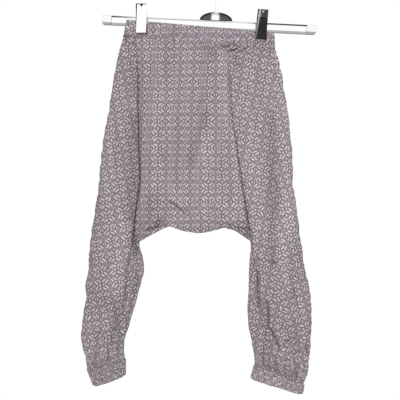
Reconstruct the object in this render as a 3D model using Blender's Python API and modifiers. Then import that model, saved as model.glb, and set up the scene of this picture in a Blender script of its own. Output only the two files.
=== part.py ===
"""Harem pants hanging flat from a metal clip hanger.

Metres, +Z up. The front of the garment faces -Y and the wearer's left leg is at +X.
The origin is the underside of the hook's crown, where a rail carries the hanger.
Lengths below are in millimetres: a drop is the distance below the origin, and an
across is the distance to the right of it.
"""
import math
from collections import namedtuple

import bmesh
import bpy
import numpy as np
from mathutils import Matrix, Vector

MM = 0.001

# ---- cloth ----------------------------------------------------------------------------
WALL = 1.2            # front and back panels
WAIST_WALL = 1.6      # elastic casing
CUFF_WALL = 1.8       # doubled cuff
SEAM_GAP = 0.3        # between two pieces that are sewn together
MID_Y = -5.7          # plane between the front and back layers
SEAM_HALF = (WALL + SEAM_GAP) / 2
CASING_HALF = 1.1     # half the distance between the casing's layers where a clip pinches
FOLD_RADIUS = 1.1     # turning radius of a drape fold
LAP_START = 3.0       # a lap shorter than this is a bend that has not folded over yet
LAP_MIN = 0.6         # straight stretch between a fold's two turns
TURN_MIN = 0.02       # a fold's edge is never quite straight, radians
STRIP_RISE = 0.6      # how far the cloth under a fold may rise towards the inner line
STRIP_MIN = 3.0       # least distance from a fold's edge to the inner line
WAIST_BULGE = 9.0     # how far the front sags forward between the clips
WAIST_LEVELS = 2.0    # levels over which the walls open out below the casing

# ---- hanger ---------------------------------------------------------------------------
HANGER_TILT = math.radians(2.7)
BAR_LENGTH, BAR_HEIGHT, BAR_DEPTH = 353.0, 15.5, 7.0
BAR_DROP = 95.0       # hook's crown to the middle of the bar
BAR_SHIFT = -11.0     # middle of the bar from the hook's axis
CAP_LENGTH = 15.0
CHANNEL_DEPTH, TOP_FLANGE, BOTTOM_FLANGE = 3.0, 1.6, 3.2
HUB_WIDTH, HUB_DEPTH, HUB_HEIGHT = 54.0, 18.0, 14.0
BAR_EDGE, CAP_EDGE = 0.5, 1.4
WIRE_RADIUS, HOOK_RADIUS = 2.0, 21.0
# The hook is a stem, a neck that leads out to the crown, and a tip, as across and height.
STEM_TOP = -58.0
NECK = ((1.4, -53.5), (5.2, -47.6), (10.8, -41.8), (16.0, -35.0), (19.6, -28.0))
TIP = ((-19.6, -28.5), (-22.5, -33.5))

# ---- sections -------------------------------------------------------------------------
# One row for each level: the side seam, the edge of the drape fold, and the line that
# runs down to the crotch corner and on along the inside leg. Rows 0 to 7 are the body,
# rows 7 to 16 the leg. The lap is how far the cloth doubles back under the fold.
Level = namedtuple("Level", "outer outer_drop fold inner inner_drop lap")
RIGHT_LEG = [Level(*row) for row in (
    (-157.0, 115.5, -134.5, -119.5, 118.4, 0.5),
    (-166.0, 148.5, -134.5, -119.5, 150.0, 1.2),
    (-175.0, 198.0, -133.5, -119.5, 199.0, 3.4),
    (-183.0, 247.5, -133.0, -118.0, 248.5, 6.5),
    (-191.0, 297.0, -132.0, -117.0, 298.0, 9.0),
    (-196.0, 346.5, -130.5, -116.5, 348.0, 11.5),
    (-202.5, 397.5, -137.0, -123.5, 399.5, 13.0),
    (-210.5, 449.0, -142.5, -130.5, 452.0, 12.0),
    (-212.5, 473.5, -147.5, -125.0, 475.0, 8.0),
    (-215.0, 498.5, -151.0, -123.0, 498.5, 5.0),
    (-218.0, 523.0, -153.0, -128.5, 521.5, 3.0),
    (-219.0, 548.0, -156.0, -134.0, 544.5, 1.8),
    (-222.0, 572.5, -161.0, -141.5, 567.5, 0.8),
    (-225.5, 597.5, -166.0, -148.0, 590.5, 0.0),
    (-225.0, 622.0, -171.0, -154.5, 612.0, 0.0),
    (-219.0, 642.0, -172.0, -156.0, 628.5, 0.0),
    (-215.5, 660.0, -171.0, -154.5, 643.5, 0.0),
)]
LEFT_LEG = [Level(*row) for row in (
    (93.0, 134.5, 9.0, -5.0, 127.1, 0.0),
    (101.0, 163.5, 11.0, -3.0, 155.0, 0.6),
    (108.5, 208.0, 16.0, 2.0, 203.0, 3.5),
    (115.5, 254.0, 24.0, 11.0, 251.0, 6.0),
    (120.5, 300.5, 31.5, 19.5, 298.5, 8.0),
    (123.0, 348.0, 38.5, 27.0, 346.5, 10.0),
    (128.5, 397.5, 46.5, 37.5, 397.5, 11.5),
    (135.5, 449.0, 55.5, 52.5, 451.0, 11.0),
    (138.0, 475.0, 59.0, 51.5, 475.0, 8.0),
    (143.0, 500.0, 63.5, 50.5, 498.5, 5.5),
    (149.0, 526.5, 67.0, 50.0, 521.5, 3.5),
    (152.0, 551.0, 68.5, 48.5, 544.5, 2.0),
    (153.0, 579.0, 69.5, 48.5, 571.0, 0.8),
    (152.0, 609.0, 71.0, 51.0, 597.5, 0.0),
    (149.5, 637.0, 74.0, 55.5, 619.0, 0.0),
    (146.5, 663.5, 77.0, 59.0, 638.5, 0.0),
    (140.0, 686.5, 78.5, 60.0, 653.5, 0.0),
)]
CROTCH = 7            # the level where the two legs part
LAST = len(LEFT_LEG) - 1

# How far each wall stands off the middle plane, one row a level. The crown is the
# fullest part of the leg, the edge is at the drape fold, the inner is at the line to
# the crotch corner and the centre is halfway between the two legs.
Depth = namedtuple("Depth", "crown edge inner centre")
DEPTHS = [Depth(*row) for row in (
    (2.6, 4.6, 3.6, 7.0),
    (6.5, 7.8, 4.8, 8.6),
    (9.5, 10.0, 5.4, 9.0),
    (11.5, 11.0, 6.0, 9.4),
    (12.5, 11.4, 6.4, 9.6),
    (13.0, 11.6, 6.6, 9.6),
    (13.5, 11.6, 6.4, 8.4),
    (14.0, 9.6, 0.0, 0.0),
    (14.5, 9.4, 0.0, 0.0),
    (14.5, 9.0, 0.0, 0.0),
    (14.0, 8.6, 0.0, 0.0),
    (13.5, 8.2, 0.0, 0.0),
    (13.0, 8.0, 0.0, 0.0),
    (12.5, 8.0, 0.0, 0.0),
    (12.0, 8.0, 0.0, 0.0),
    (9.5, 7.0, 0.0, 0.0),
    (6.0, 5.2, 0.0, 0.0),
)]

# The crotch seam is drawn up between the legs: share of the way across, and rise.
Rise = namedtuple("Rise", "share rise")
CROTCH_SEAM = [Rise(*row) for row in (
    (0.00, 0.0), (0.10, 11.0), (0.19, 19.5), (0.28, 27.0), (0.38, 18.0), (0.51, 15.0),
    (0.65, 17.0), (0.75, 23.5), (0.86, 18.0), (0.94, 8.0), (1.00, 0.0),
)]

# Long soft hollows in a panel, from one end to the other, with half width and depth.
Hollow = namedtuple("Hollow", "across drop to_across to_drop width depth")
FRONT_HOLLOWS = [Hollow(*row) for row in (
    (-137.0, 190.0, -136.0, 420.0, 13.0, 3.2),
    (-151.0, 548.0, -163.0, 610.0, 9.0, 2.4),
    (-200.0, 560.0, -204.0, 640.0, 9.0, 1.6),
    (86.0, 255.0, 89.0, 480.0, 9.0, 2.8),
    (74.0, 560.0, 86.0, 652.0, 8.0, 2.8),
    (120.0, 540.0, 118.0, 640.0, 9.0, 1.8),
    (-60.0, 160.0, -66.0, 330.0, 13.0, 1.4),
    (-24.0, 250.0, -46.0, 312.0, 10.0, 1.4),
)]
BACK_HOLLOWS = [Hollow(*row) for row in (
    (-158.0, 240.0, -170.0, 420.0, 10.0, 2.4),
    (-186.0, 480.0, -195.0, 615.0, 9.0, 2.4),
    (92.0, 240.0, 102.0, 430.0, 10.0, 2.4),
    (98.0, 500.0, 112.0, 640.0, 9.0, 2.6),
    (-78.0, 170.0, -84.0, 360.0, 14.0, 1.8),
    (-34.0, 150.0, -30.0, 330.0, 12.0, 1.6),
)]

Panel = namedtuple("Panel", "name side lap_share fold_shift hollows")
PANELS = (
    Panel("front", -1, 1.0, 0.0, FRONT_HOLLOWS),
    Panel("back", 1, 0.75, 5.0, BACK_HOLLOWS),
)

# Where things change along a section, as shares of the way from side seam to fold.
CROWN_AT = 0.55       # the wall is fullest here
EDGE_FROM = 0.35      # and from here it eases to its stand-off at the fold
LEVEL_FROM = 0.7      # a hollow is level from here to the fold
HOLLOW_CLEAR = 0.3    # a hollow fades out this close to the side seam
GATHER_CLEAR = 0.2    # and a gather this close
CROTCH_CLEAR = 0.15   # share of the body above the crotch seam without hollows
CROWN_POWER, CENTRE_POWER, SAG_POWER, RISE_POWER = 2.4, 0.7, 1.3, 3

# Columns of the grid, seam to seam, for the parts that a section is made of.
MAIN_COLS, ARC_COLS, LAP_COLS, STRIP_COLS, CENTRE_COLS = 12, 3, 1, 3, 10
LEG_COLS = MAIN_COLS + 2 * ARC_COLS + LAP_COLS + STRIP_COLS
COLS = 2 * LEG_COLS + CENTRE_COLS
ROW_LEVELS = [row / 2 for row in range(2 * CROTCH)] + list(range(CROTCH, LAST + 1))
GATHERS, GATHER_DEPTH, GATHER_LEVELS = 4, 1.3, 2.5

# ---- rings ----------------------------------------------------------------------------
WAIST_TOP = ((-155.0, 87.5), (91.0, 108.0))
CUFF_RIGHT_TOP, CUFF_RIGHT_FOOT = ((-215.5, 660.3), (-154.5, 643.8)), ((-204.0, 690.5), (-154.0, 672.5))
CUFF_LEFT_TOP, CUFF_LEFT_FOOT = ((60.0, 653.8), (140.0, 686.8)), ((53.5, 678.0), (136.5, 703.5))
CUFF_CROWN = 4.8
EDGE_COLS = 4         # columns round each end of a ring
CLIP_ACROSS = (-127.0, 71.0)
PINCH_WIDTH = 12.0    # half width of the flat stretch under a clip

# ---- clips ----------------------------------------------------------------------------
CLIP_WIDTH, CLIP_SHEET = 17.7, 1.0
CLIP_LEANS = (0.0, math.radians(4.5))
# Each jaw is one bent strip: distance behind the bar's middle, and height above it.
FRONT_JAW = ((-12.6, 28.6), (-8.4, 17.0), (-8.4, -18.6), (-9.2, -20.4))
BACK_JAW = ((9.8, 27.6), (5.2, 15.0), (5.2, -8.6), (-2.9, -14.6), (-2.9, -20.0))
# The ear at each side of a jaw: reach from the jaw, and height above the bar's middle.
EAR = ((0.0, 8.8), (12.0, 9.4), (12.0, 16.5), (3.4, 19.6), (0.2, 22.4))
PIVOT_HEIGHT = 14.2
PIN_RADIUS, SPRING_RADIUS = 1.4, 3.0


def clear_scene():
    for thing in list(bpy.data.objects):
        bpy.data.objects.remove(thing, do_unlink=True)


def new_collection(name):
    group = bpy.data.collections.new(name)
    bpy.context.scene.collection.children.link(group)
    return group


def finish(name, colour, roughness, metallic=0.0):
    material = bpy.data.materials.new(name)
    material.use_nodes = True
    shader = material.node_tree.nodes["Principled BSDF"]
    shader.inputs["Base Color"].default_value = (*colour, 1.0)
    shader.inputs["Roughness"].default_value = roughness
    shader.inputs["Metallic"].default_value = metallic
    return material


def add_object(name, data, material, group, parent=None):
    thing = bpy.data.objects.new(name, data)
    data.materials.append(material)
    group.objects.link(thing)
    thing.parent = parent
    return thing


def mesh_from(bm, name):
    mesh = bpy.data.meshes.new(name)
    bm.to_mesh(mesh)
    bm.free()
    mesh.shade_smooth()
    return mesh


def thicken(thing, wall):
    shell = thing.modifiers.new("Wall", "SOLIDIFY")
    shell.thickness = wall * MM
    shell.offset = 0.0
    shell.use_even_offset = True


# ---- the shape of the cloth -----------------------------------------------------------

def ease(value):
    """Smooth step from 0 to 1."""
    value = min(max(value, 0.0), 1.0)
    return value * value * (3.0 - 2.0 * value)


def at_level(rows, level):
    """One row of a table at any level, on a smooth curve through its rows."""
    low = min(int(level), len(rows) - 2)
    share = level - low
    a, b, c, d = (np.array(rows[min(max(low + k, 0), len(rows) - 1)]) for k in (-1, 0, 1, 2))
    value = b + 0.5 * share * (
        c - a + share * (2 * a - 5 * b + 4 * c - d + share * (3 * (b - c) + d - a)))
    return type(rows[0])(*(float(v) for v in value))


def crown_shape(share):
    """Rise of a full, rounded wall from 0 at its seam to 1."""
    left = 1.0 - min(max(share, 0.0), 1.0)
    return (1.0 - left ** CROWN_POWER) ** (1 / CROWN_POWER)


def pinch(across):
    """0 under a clip and at the casing's two ends, 1 halfway between the clips."""
    left, right = CLIP_ACROSS
    inside = (across - left - PINCH_WIDTH) / (right - left - 2 * PINCH_WIDTH)
    return math.sin(math.pi * inside) ** SAG_POWER if 0.0 < inside < 1.0 else 0.0


def hollow_depth(panel, across, drop):
    """How far the panel's hollows draw its wall in at a point."""
    depth = 0.0
    for h in panel.hollows:
        run = Vector((h.to_across - h.across, h.to_drop - h.drop))
        point = Vector((across - h.across, drop - h.drop))
        along = point.dot(run) / run.length_squared
        off = (point - run * min(max(along, 0.0), 1.0)).length / h.width
        depth += h.depth * math.exp(-off * off)
    return depth


def drop_at(row, across):
    """Drop of a level's line, straight from the side seam to the inner line."""
    reach = (across - row.outer) / (row.inner - row.outer)
    return row.outer_drop + (row.inner_drop - row.outer_drop) * min(reach, 1.0)


def fold_depths(panel, row, depth, turned, radius, run):
    """Stand-off of a fold's outer layer, of what lies under it, and of the inner line."""
    over = depth.edge - hollow_depth(panel, row.fold, drop_at(row, row.fold))
    under = over - 2 * radius * (1 - math.cos(turned)) - run * math.sin(turned)
    return over, under, max(min(depth.inner, under + STRIP_RISE), 0.0)


def fold_turn(panel, row):
    """How far a fold turns, its radius, and the straight run between its two turns."""
    lap = max(row.lap, 0.0) * panel.lap_share
    turned = max(math.pi * ease(lap / LAP_START), TURN_MIN)
    return turned, math.pi * FOLD_RADIUS / turned, max(lap - LAP_START, LAP_MIN)


def leg_section(panel, rows, level, part, share):
    """Across, drop and stand-off of a point of a leg.

    part is main (side seam to fold), turn (into the fold), lap (back under it), return
    (out of it) or strip (fold to the inner line), and share is how far along it is.
    """
    row, depth = at_level(rows, level), at_level(DEPTHS, level)
    toward = 1.0 if row.inner > row.outer else -1.0
    turned, radius, run = fold_turn(panel, row)
    over, under, inner_stand = fold_depths(panel, row, depth, turned, radius, run)
    edge = row.fold + toward * panel.fold_shift * (level / CROTCH if level < CROTCH else 1.0)
    edge = toward * min(toward * edge, toward * row.inner - STRIP_MIN)
    start = edge - toward * radius * math.sin(min(turned, math.pi / 2))
    sine, drop_in = radius * math.sin(turned), radius * (1 - math.cos(turned))
    if part == "main":
        across = row.outer + (start - row.outer) * share
        drop = drop_at(row, across)
        at_edge = ease((share - EDGE_FROM) / (1 - EDGE_FROM))
        stand = depth.crown + (depth.edge - depth.crown) * at_edge
        stand *= crown_shape(share / CROWN_AT)
        hollow = hollow_depth(panel, across, drop)
        levelled = ease((share - LEVEL_FROM) / (1 - LEVEL_FROM))
        hollow += (depth.edge - over - hollow) * levelled
        stand -= hollow * ease(share / HOLLOW_CLEAR)
        gather = GATHER_DEPTH * ease((level - LAST) / GATHER_LEVELS + 1.0) * ease(share / GATHER_CLEAR)
        stand += gather * math.sin(2 * math.pi * GATHERS * share)
        return across, drop, max(stand, 0.0)
    if part == "turn":
        ahead = radius * math.sin(turned * share)
        off = radius * (1 - math.cos(turned * share))
    elif part == "lap":
        ahead = sine + run * share * math.cos(turned)
        off = drop_in + run * share * math.sin(turned)
    elif part == "return":
        bend = turned * (1 - share)
        ahead = 2 * sine + run * math.cos(turned) - radius * math.sin(bend)
        off = 2 * drop_in + run * math.sin(turned) - radius * (1 - math.cos(bend))
    else:
        ahead = 2 * sine + run * math.cos(turned)
        off = over - under
    across, stand = start + toward * ahead, over - off
    if part == "strip":
        parted = ease(level - CROTCH + 1)
        closing = parted * (1 - crown_shape(1 - share)) + (1 - parted) * share
        stand += (inner_stand - stand) * closing
        across += (row.inner - across) * share
    return across, drop_at(row, across), max(stand, 0.0)


def centre_section(panel, level, share):
    """Across, drop and stand-off between the lines to the two crotch corners."""
    a, b, depth = at_level(RIGHT_LEG, level), at_level(LEFT_LEG, level), at_level(DEPTHS, level)
    down = level / CROTCH
    rise = np.interp(share, [r.share for r in CROTCH_SEAM], [r.rise for r in CROTCH_SEAM])
    across = a.inner + (b.inner - a.inner) * share
    drop = a.inner_drop + (b.inner_drop - a.inner_drop) * share - rise * down ** RISE_POWER
    ends = [fold_depths(panel, row, depth, *fold_turn(panel, row))[2] for row in (a, b)]
    side = ends[0] + (ends[1] - ends[0]) * share
    stand = side + (max(depth.centre, side) - side) * math.sin(math.pi * share) ** CENTRE_POWER
    stand -= ease((1 - down) / CROTCH_CLEAR) * hollow_depth(panel, across, drop)
    return across, drop, max(stand, 0.0)


def panel_point(panel, level, column):
    """World position of a grid point of the front or the back panel."""
    parts = (("main", MAIN_COLS), ("turn", ARC_COLS), ("lap", LAP_COLS), ("return", ARC_COLS),
             ("strip", STRIP_COLS))
    if LEG_COLS < column < COLS - LEG_COLS:
        across, drop, stand = centre_section(panel, level, (column - LEG_COLS) / CENTRE_COLS)
    else:
        rows = RIGHT_LEG if column <= LEG_COLS else LEFT_LEG
        left = column if column <= LEG_COLS else COLS - column
        for part, count in parts:
            if left <= count:
                break
            left -= count
        across, drop, stand = leg_section(panel, rows, level, part, left / count)
    held = CASING_HALF - SEAM_HALF + (WAIST_BULGE * pinch(across) if panel.side < 0 else 0.0)
    stand += (held - stand) * ease(1.0 - level / WAIST_LEVELS)
    return Vector((across * MM, (MID_Y + panel.side * (SEAM_HALF + stand)) * MM, -drop * MM))


def make_panel(panel, material, group):
    """An inverted U of cloth: a grid without the faces between the legs, then draped."""
    rows = len(ROW_LEVELS) - 1
    body_rows = ROW_LEVELS.index(CROTCH)
    bm = bmesh.new()
    bmesh.ops.create_grid(bm, x_segments=COLS, y_segments=rows, size=1.0)
    gap = [f for f in bm.faces if f.calc_center_median().y < 1.0 - 2.0 * body_rows / rows
           and abs(f.calc_center_median().x) < CENTRE_COLS / COLS]
    bmesh.ops.delete(bm, geom=gap, context="FACES")
    for vert in bm.verts:
        column = round((vert.co.x + 1.0) / 2.0 * COLS)
        row = round((1.0 - vert.co.y) / 2.0 * rows)
        vert.co = panel_point(panel, ROW_LEVELS[row], column)
    bmesh.ops.recalc_face_normals(bm, faces=bm.faces)
    thing = add_object(panel.name, mesh_from(bm, panel.name), material, group)
    thicken(thing, WALL)
    return thing


def make_ring(name, top, foot, front, back, wall, material, group, columns=26, rows=2):
    """A flat tube between two level lines, open above and below.

    front and back give how far each layer stands off at a share of the way across.
    """
    around = 2 * (columns + EDGE_COLS)
    half = wall / 2 + SEAM_GAP
    bm = bmesh.new()
    bmesh.ops.create_grid(bm, x_segments=around, y_segments=rows, size=1.0)
    for vert in bm.verts:
        place = round((vert.co.x + 1.0) / 2.0 * around) % around
        down = (1.0 - vert.co.y) / 2.0
        side = -1 if place < columns + EDGE_COLS else 1
        step = place % (columns + EDGE_COLS)
        share = min(step / columns, 1.0)
        bend = math.pi * max(step - columns, 0) / EDGE_COLS
        share = share if side < 0 else 1.0 - share
        ends = [Vector(a).lerp(Vector(b), down) for a, b in zip(top, foot)]
        spot = ends[0].lerp(ends[1], share)
        stand = side * (half + (front if side < 0 else back)(share, spot.x)) * math.cos(bend)
        out = -side * half * math.sin(bend)
        vert.co = Vector(((spot.x + out) * MM, (MID_Y + stand) * MM, -spot.y * MM))
    bmesh.ops.remove_doubles(bm, verts=bm.verts, dist=1e-6)
    bmesh.ops.recalc_face_normals(bm, faces=bm.faces)
    thing = add_object(name, mesh_from(bm, name), material, group)
    thicken(thing, wall)
    return thing


def make_waistband(material, group):
    first, last = RIGHT_LEG[0], LEFT_LEG[0]
    foot = ((first.outer, first.outer_drop - SEAM_GAP), (last.outer, last.outer_drop - SEAM_GAP))

    def front(share, across):
        return WAIST_BULGE * pinch(across)

    def back(share, across):
        return 0.0

    return make_ring("waistband", WAIST_TOP, foot, front, back, WAIST_WALL, material, group)


def make_cuffs(material, group):
    def crown(share, across):
        return CUFF_CROWN * crown_shape(2 * min(share, 1 - share))

    for name, top, foot in (("cuff_right", CUFF_RIGHT_TOP, CUFF_RIGHT_FOOT),
                            ("cuff_left", CUFF_LEFT_TOP, CUFF_LEFT_FOOT)):
        make_ring(name, top, foot, crown, crown, CUFF_WALL, material, group, columns=14, rows=2)


# ---- the hanger -----------------------------------------------------------------------

def box_mesh(name, size):
    bm = bmesh.new()
    bmesh.ops.create_cube(bm, size=1.0)
    bmesh.ops.scale(bm, verts=bm.verts, vec=Vector(size) * MM)
    return mesh_from(bm, name)


def rod_mesh(name, radius, length, sides=16):
    """A rod along X, centred."""
    bm = bmesh.new()
    bmesh.ops.create_cone(bm, cap_ends=True, segments=sides, radius1=radius * MM,
                          radius2=radius * MM, depth=length * MM,
                          matrix=Matrix.Rotation(math.pi / 2, 4, "Y"))
    return mesh_from(bm, name)


def soften(thing, width, segments=2):
    bevel = thing.modifiers.new("Edges", "BEVEL")
    bevel.width = width * MM
    bevel.segments = segments
    bevel.limit_method = "ANGLE"


def cut_with(thing, cutter, operation="DIFFERENCE"):
    cut = thing.modifiers.new(cutter.name, "BOOLEAN")
    cut.operation = operation
    cut.object = cutter
    cutter.hide_render = True
    cutter.display_type = "WIRE"


def make_bar(steel, hanger, group, cutters):
    span = BAR_LENGTH - 2 * CAP_LENGTH - 2 * SEAM_GAP
    bar = add_object("bar", box_mesh("bar", (span, BAR_DEPTH, BAR_HEIGHT)), steel, group, hanger)
    bar.location = Vector((BAR_SHIFT, 0, -BAR_DROP)) * MM
    height = BAR_HEIGHT - TOP_FLANGE - BOTTOM_FLANGE
    groove = add_object("bar_groove", box_mesh("bar_groove", (span + 4, CHANNEL_DEPTH * 2, height)),
                        steel, cutters, hanger)
    lift = (BOTTOM_FLANGE - TOP_FLANGE) / 2
    groove.location = Vector((BAR_SHIFT, -BAR_DEPTH / 2, -BAR_DROP + lift)) * MM
    soften(bar, BAR_EDGE)
    cut_with(bar, groove)
    for name, side in (("cap_left", 1), ("cap_right", -1)):
        size = (CAP_LENGTH, BAR_DEPTH, BAR_HEIGHT)
        cap = add_object(name, box_mesh(name, size), steel, group, hanger)
        cap.location = Vector((BAR_SHIFT + side * (BAR_LENGTH - CAP_LENGTH) / 2, 0, -BAR_DROP)) * MM
        soften(cap, CAP_EDGE, 3)


def hook_route():
    """Points of the hook, from the seat up the stem, round the crown to the tip."""
    stem_foot = -BAR_DROP + BAR_HEIGHT / 2 + HUB_HEIGHT + SEAM_GAP * 2
    stem = [(0.0, height) for height in np.linspace(stem_foot, STEM_TOP, 4)]
    centre = WIRE_RADIUS - HOOK_RADIUS
    loop = [(HOOK_RADIUS * math.cos(a), centre + HOOK_RADIUS * math.sin(a))
            for a in np.radians(np.linspace(-8, 188, 22))]
    return [*stem, *NECK, *loop, *TIP]


def make_hook(steel, hanger, group):
    route = hook_route()
    curve = bpy.data.curves.new("hook", "CURVE")
    curve.dimensions = "3D"
    curve.bevel_depth = WIRE_RADIUS * MM
    curve.bevel_resolution = 2
    curve.use_fill_caps = True
    spline = curve.splines.new("POLY")
    spline.points.add(len(route) - 1)
    for point, (across, height) in zip(spline.points, route):
        point.co = (across * MM, 0.0, height * MM, 1.0)
    add_object("hook", curve, steel, group, hanger)


def make_hub(steel, hanger, group):
    """A low dome on the bar that the hook's stem stands on."""
    bm = bmesh.new()
    bmesh.ops.create_uvsphere(bm, u_segments=28, v_segments=12, radius=1.0)
    bmesh.ops.bisect_plane(bm, geom=bm.verts[:] + bm.edges[:] + bm.faces[:], plane_co=(0, 0, 0),
                           plane_no=(0, 0, 1), clear_inner=True, dist=1e-5)
    bmesh.ops.holes_fill(bm, edges=[e for e in bm.edges if e.is_boundary])
    size = Vector((HUB_WIDTH / 2, HUB_DEPTH / 2, HUB_HEIGHT)) * MM
    bmesh.ops.scale(bm, verts=bm.verts, vec=size)
    bmesh.ops.recalc_face_normals(bm, faces=bm.faces)
    hub = add_object("hub", mesh_from(bm, "hub"), steel, group, hanger)
    hub.location = Vector((0, 0, -BAR_DROP + BAR_HEIGHT / 2 + SEAM_GAP)) * MM


def strip_mesh(name, path, width):
    """A strip of sheet bent along a path of (y, z), with its centre at the path."""
    bm = bmesh.new()
    bmesh.ops.create_grid(bm, x_segments=1, y_segments=len(path) - 1, size=1.0)
    for vert in bm.verts:
        y, z = path[round((1.0 - vert.co.y) / 2.0 * (len(path) - 1))]
        vert.co = Vector((vert.co.x * width / 2, y, z)) * MM
    bmesh.ops.recalc_face_normals(bm, faces=bm.faces)
    return mesh_from(bm, name)


def ear_curve(name, jaw_y, reach_sign):
    """Outline of a jaw's side ear in the plane of Y and Z, as a flat curve."""
    curve = bpy.data.curves.new(name, "CURVE")
    curve.dimensions = "2D"
    curve.fill_mode = "BOTH"
    curve.extrude = CLIP_SHEET / 2 * MM
    spline = curve.splines.new("POLY")
    spline.points.add(len(EAR) - 1)
    spline.use_cyclic_u = True
    for point, (reach, height) in zip(spline.points, EAR):
        point.co = ((jaw_y + reach_sign * reach) * MM, height * MM, 0.0, 1.0)
    return curve


def as_mesh(thing, group):
    """Turn a curve object into a mesh object of the same name, with welded caps."""
    bpy.context.view_layer.update()
    evaluated = thing.evaluated_get(bpy.context.evaluated_depsgraph_get())
    mesh = bpy.data.meshes.new_from_object(evaluated)
    bm = bmesh.new()
    bm.from_mesh(mesh)
    bmesh.ops.remove_doubles(bm, verts=bm.verts, dist=1e-6)
    bmesh.ops.recalc_face_normals(bm, faces=bm.faces)
    bm.to_mesh(mesh)
    bm.free()
    name, world = thing.name, thing.matrix_world.copy()
    bpy.data.objects.remove(thing, do_unlink=True)
    solid = bpy.data.objects.new(name, mesh)
    group.objects.link(solid)
    solid.matrix_world = world
    return solid


def make_jaw(name, path, ear_x, ear_reach, steel, holder, group, cutters):
    """One bent strip with an ear at each side, and a hole through both for the pin."""
    width = 2 * ear_x + CLIP_SHEET
    jaw = add_object(name, strip_mesh(name, path, width), steel, group, holder)
    thicken(jaw, CLIP_SHEET)
    turn = Matrix.Rotation(math.pi / 2, 4, "Z") @ Matrix.Rotation(math.pi / 2, 4, "X")
    for side in (-1, 1):
        ear = add_object(f"{name}_ear{side}", ear_curve(f"{name}_ear{side}", path[1][0], ear_reach),
                         steel, cutters, holder)
        ear.matrix_local = Matrix.Translation((side * ear_x * MM, 0, 0)) @ turn
        cut_with(jaw, as_mesh(ear, cutters), "UNION")
    hole = add_object(f"{name}_hole", rod_mesh(f"{name}_hole", PIN_RADIUS + SEAM_GAP, CLIP_WIDTH + 8),
                      steel, cutters, holder)
    hole.location = Vector((0, 0, PIVOT_HEIGHT)) * MM
    cut_with(jaw, hole)
    return jaw


def make_clip(label, across, lean, steel, hanger, group, cutters):
    """Two jaws that pivot on a pin above the bar, with the spring wound on the pin."""
    holder = bpy.data.objects.new(f"clip_{label}", None)
    group.objects.link(holder)
    holder.parent = hanger
    holder.location = Vector((across, 0, -BAR_DROP)) * MM
    holder.rotation_euler = (0, lean - HANGER_TILT, 0)
    bpy.context.view_layer.update()
    outer_ear = CLIP_WIDTH / 2 - CLIP_SHEET / 2
    inner_ear = outer_ear - CLIP_SHEET - SEAM_GAP
    make_jaw(f"clip_{label}_front", FRONT_JAW, outer_ear, 1, steel, holder, group, cutters)
    make_jaw(f"clip_{label}_back", BACK_JAW, inner_ear, -1, steel, holder, group, cutters)
    pin = add_object(f"clip_{label}_pin", rod_mesh(f"clip_{label}_pin", PIN_RADIUS, CLIP_WIDTH),
                     steel, group, holder)
    pin.location = Vector((0, 0, PIVOT_HEIGHT)) * MM
    sleeve = 2 * (inner_ear - CLIP_SHEET / 2 - SEAM_GAP)
    spring = add_object(f"clip_{label}_spring", rod_mesh(f"clip_{label}_spring", SPRING_RADIUS, sleeve),
                        steel, cutters, holder)
    spring.location = pin.location
    cut_with(pin, spring, "UNION")


def main():
    clear_scene()
    group, cutters = new_collection("harem_pants_on_clip_hanger"), new_collection("cutters")
    cotton = finish("printed_cotton", (0.30, 0.25, 0.28), 0.9)
    casing = finish("printed_casing", (0.29, 0.24, 0.27), 0.9)
    cuff = finish("printed_cuff", (0.32, 0.27, 0.29), 0.9)
    bright = finish("bright_steel", (0.82, 0.83, 0.85), 0.15, 1.0)
    brushed = finish("brushed_bar", (0.86, 0.86, 0.88), 0.3, 1.0)
    for panel in PANELS:
        make_panel(panel, cotton, group)
    make_waistband(casing, group)
    make_cuffs(cuff, group)
    hanger = bpy.data.objects.new("hanger", None)
    group.objects.link(hanger)
    hanger.rotation_euler = (0, HANGER_TILT, 0)
    bpy.context.view_layer.update()
    make_bar(brushed, hanger, group, cutters)
    make_hub(bright, hanger, group)
    make_hook(bright, hanger, group)
    for label, across, lean in zip(("right", "left"), CLIP_ACROSS, CLIP_LEANS):
        spot = across / math.cos(HANGER_TILT) + BAR_DROP * math.sin(HANGER_TILT)
        make_clip(label, spot, lean, bright, hanger, group, cutters)


main()
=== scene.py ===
"""Harem pants of a small printed cotton, hanging from a metal clip hanger.

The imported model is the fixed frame. The cloth is modelled again as thin shells on the
same sections as its solids, with its creases, and the hanger gets its finishes.
Lengths are in millimetres in the tables and in metres in the meshes. A drop is the
distance below the hook's crown, an across the distance to the right of it.
"""
import logging
import math
from collections.abc import Iterator, Sequence
from contextlib import contextmanager
from dataclasses import astuple, dataclass
from enum import Enum, IntEnum
from typing import TypeVar

import bmesh
import bpy
import numpy as np
from mathutils import Matrix, Vector

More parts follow.
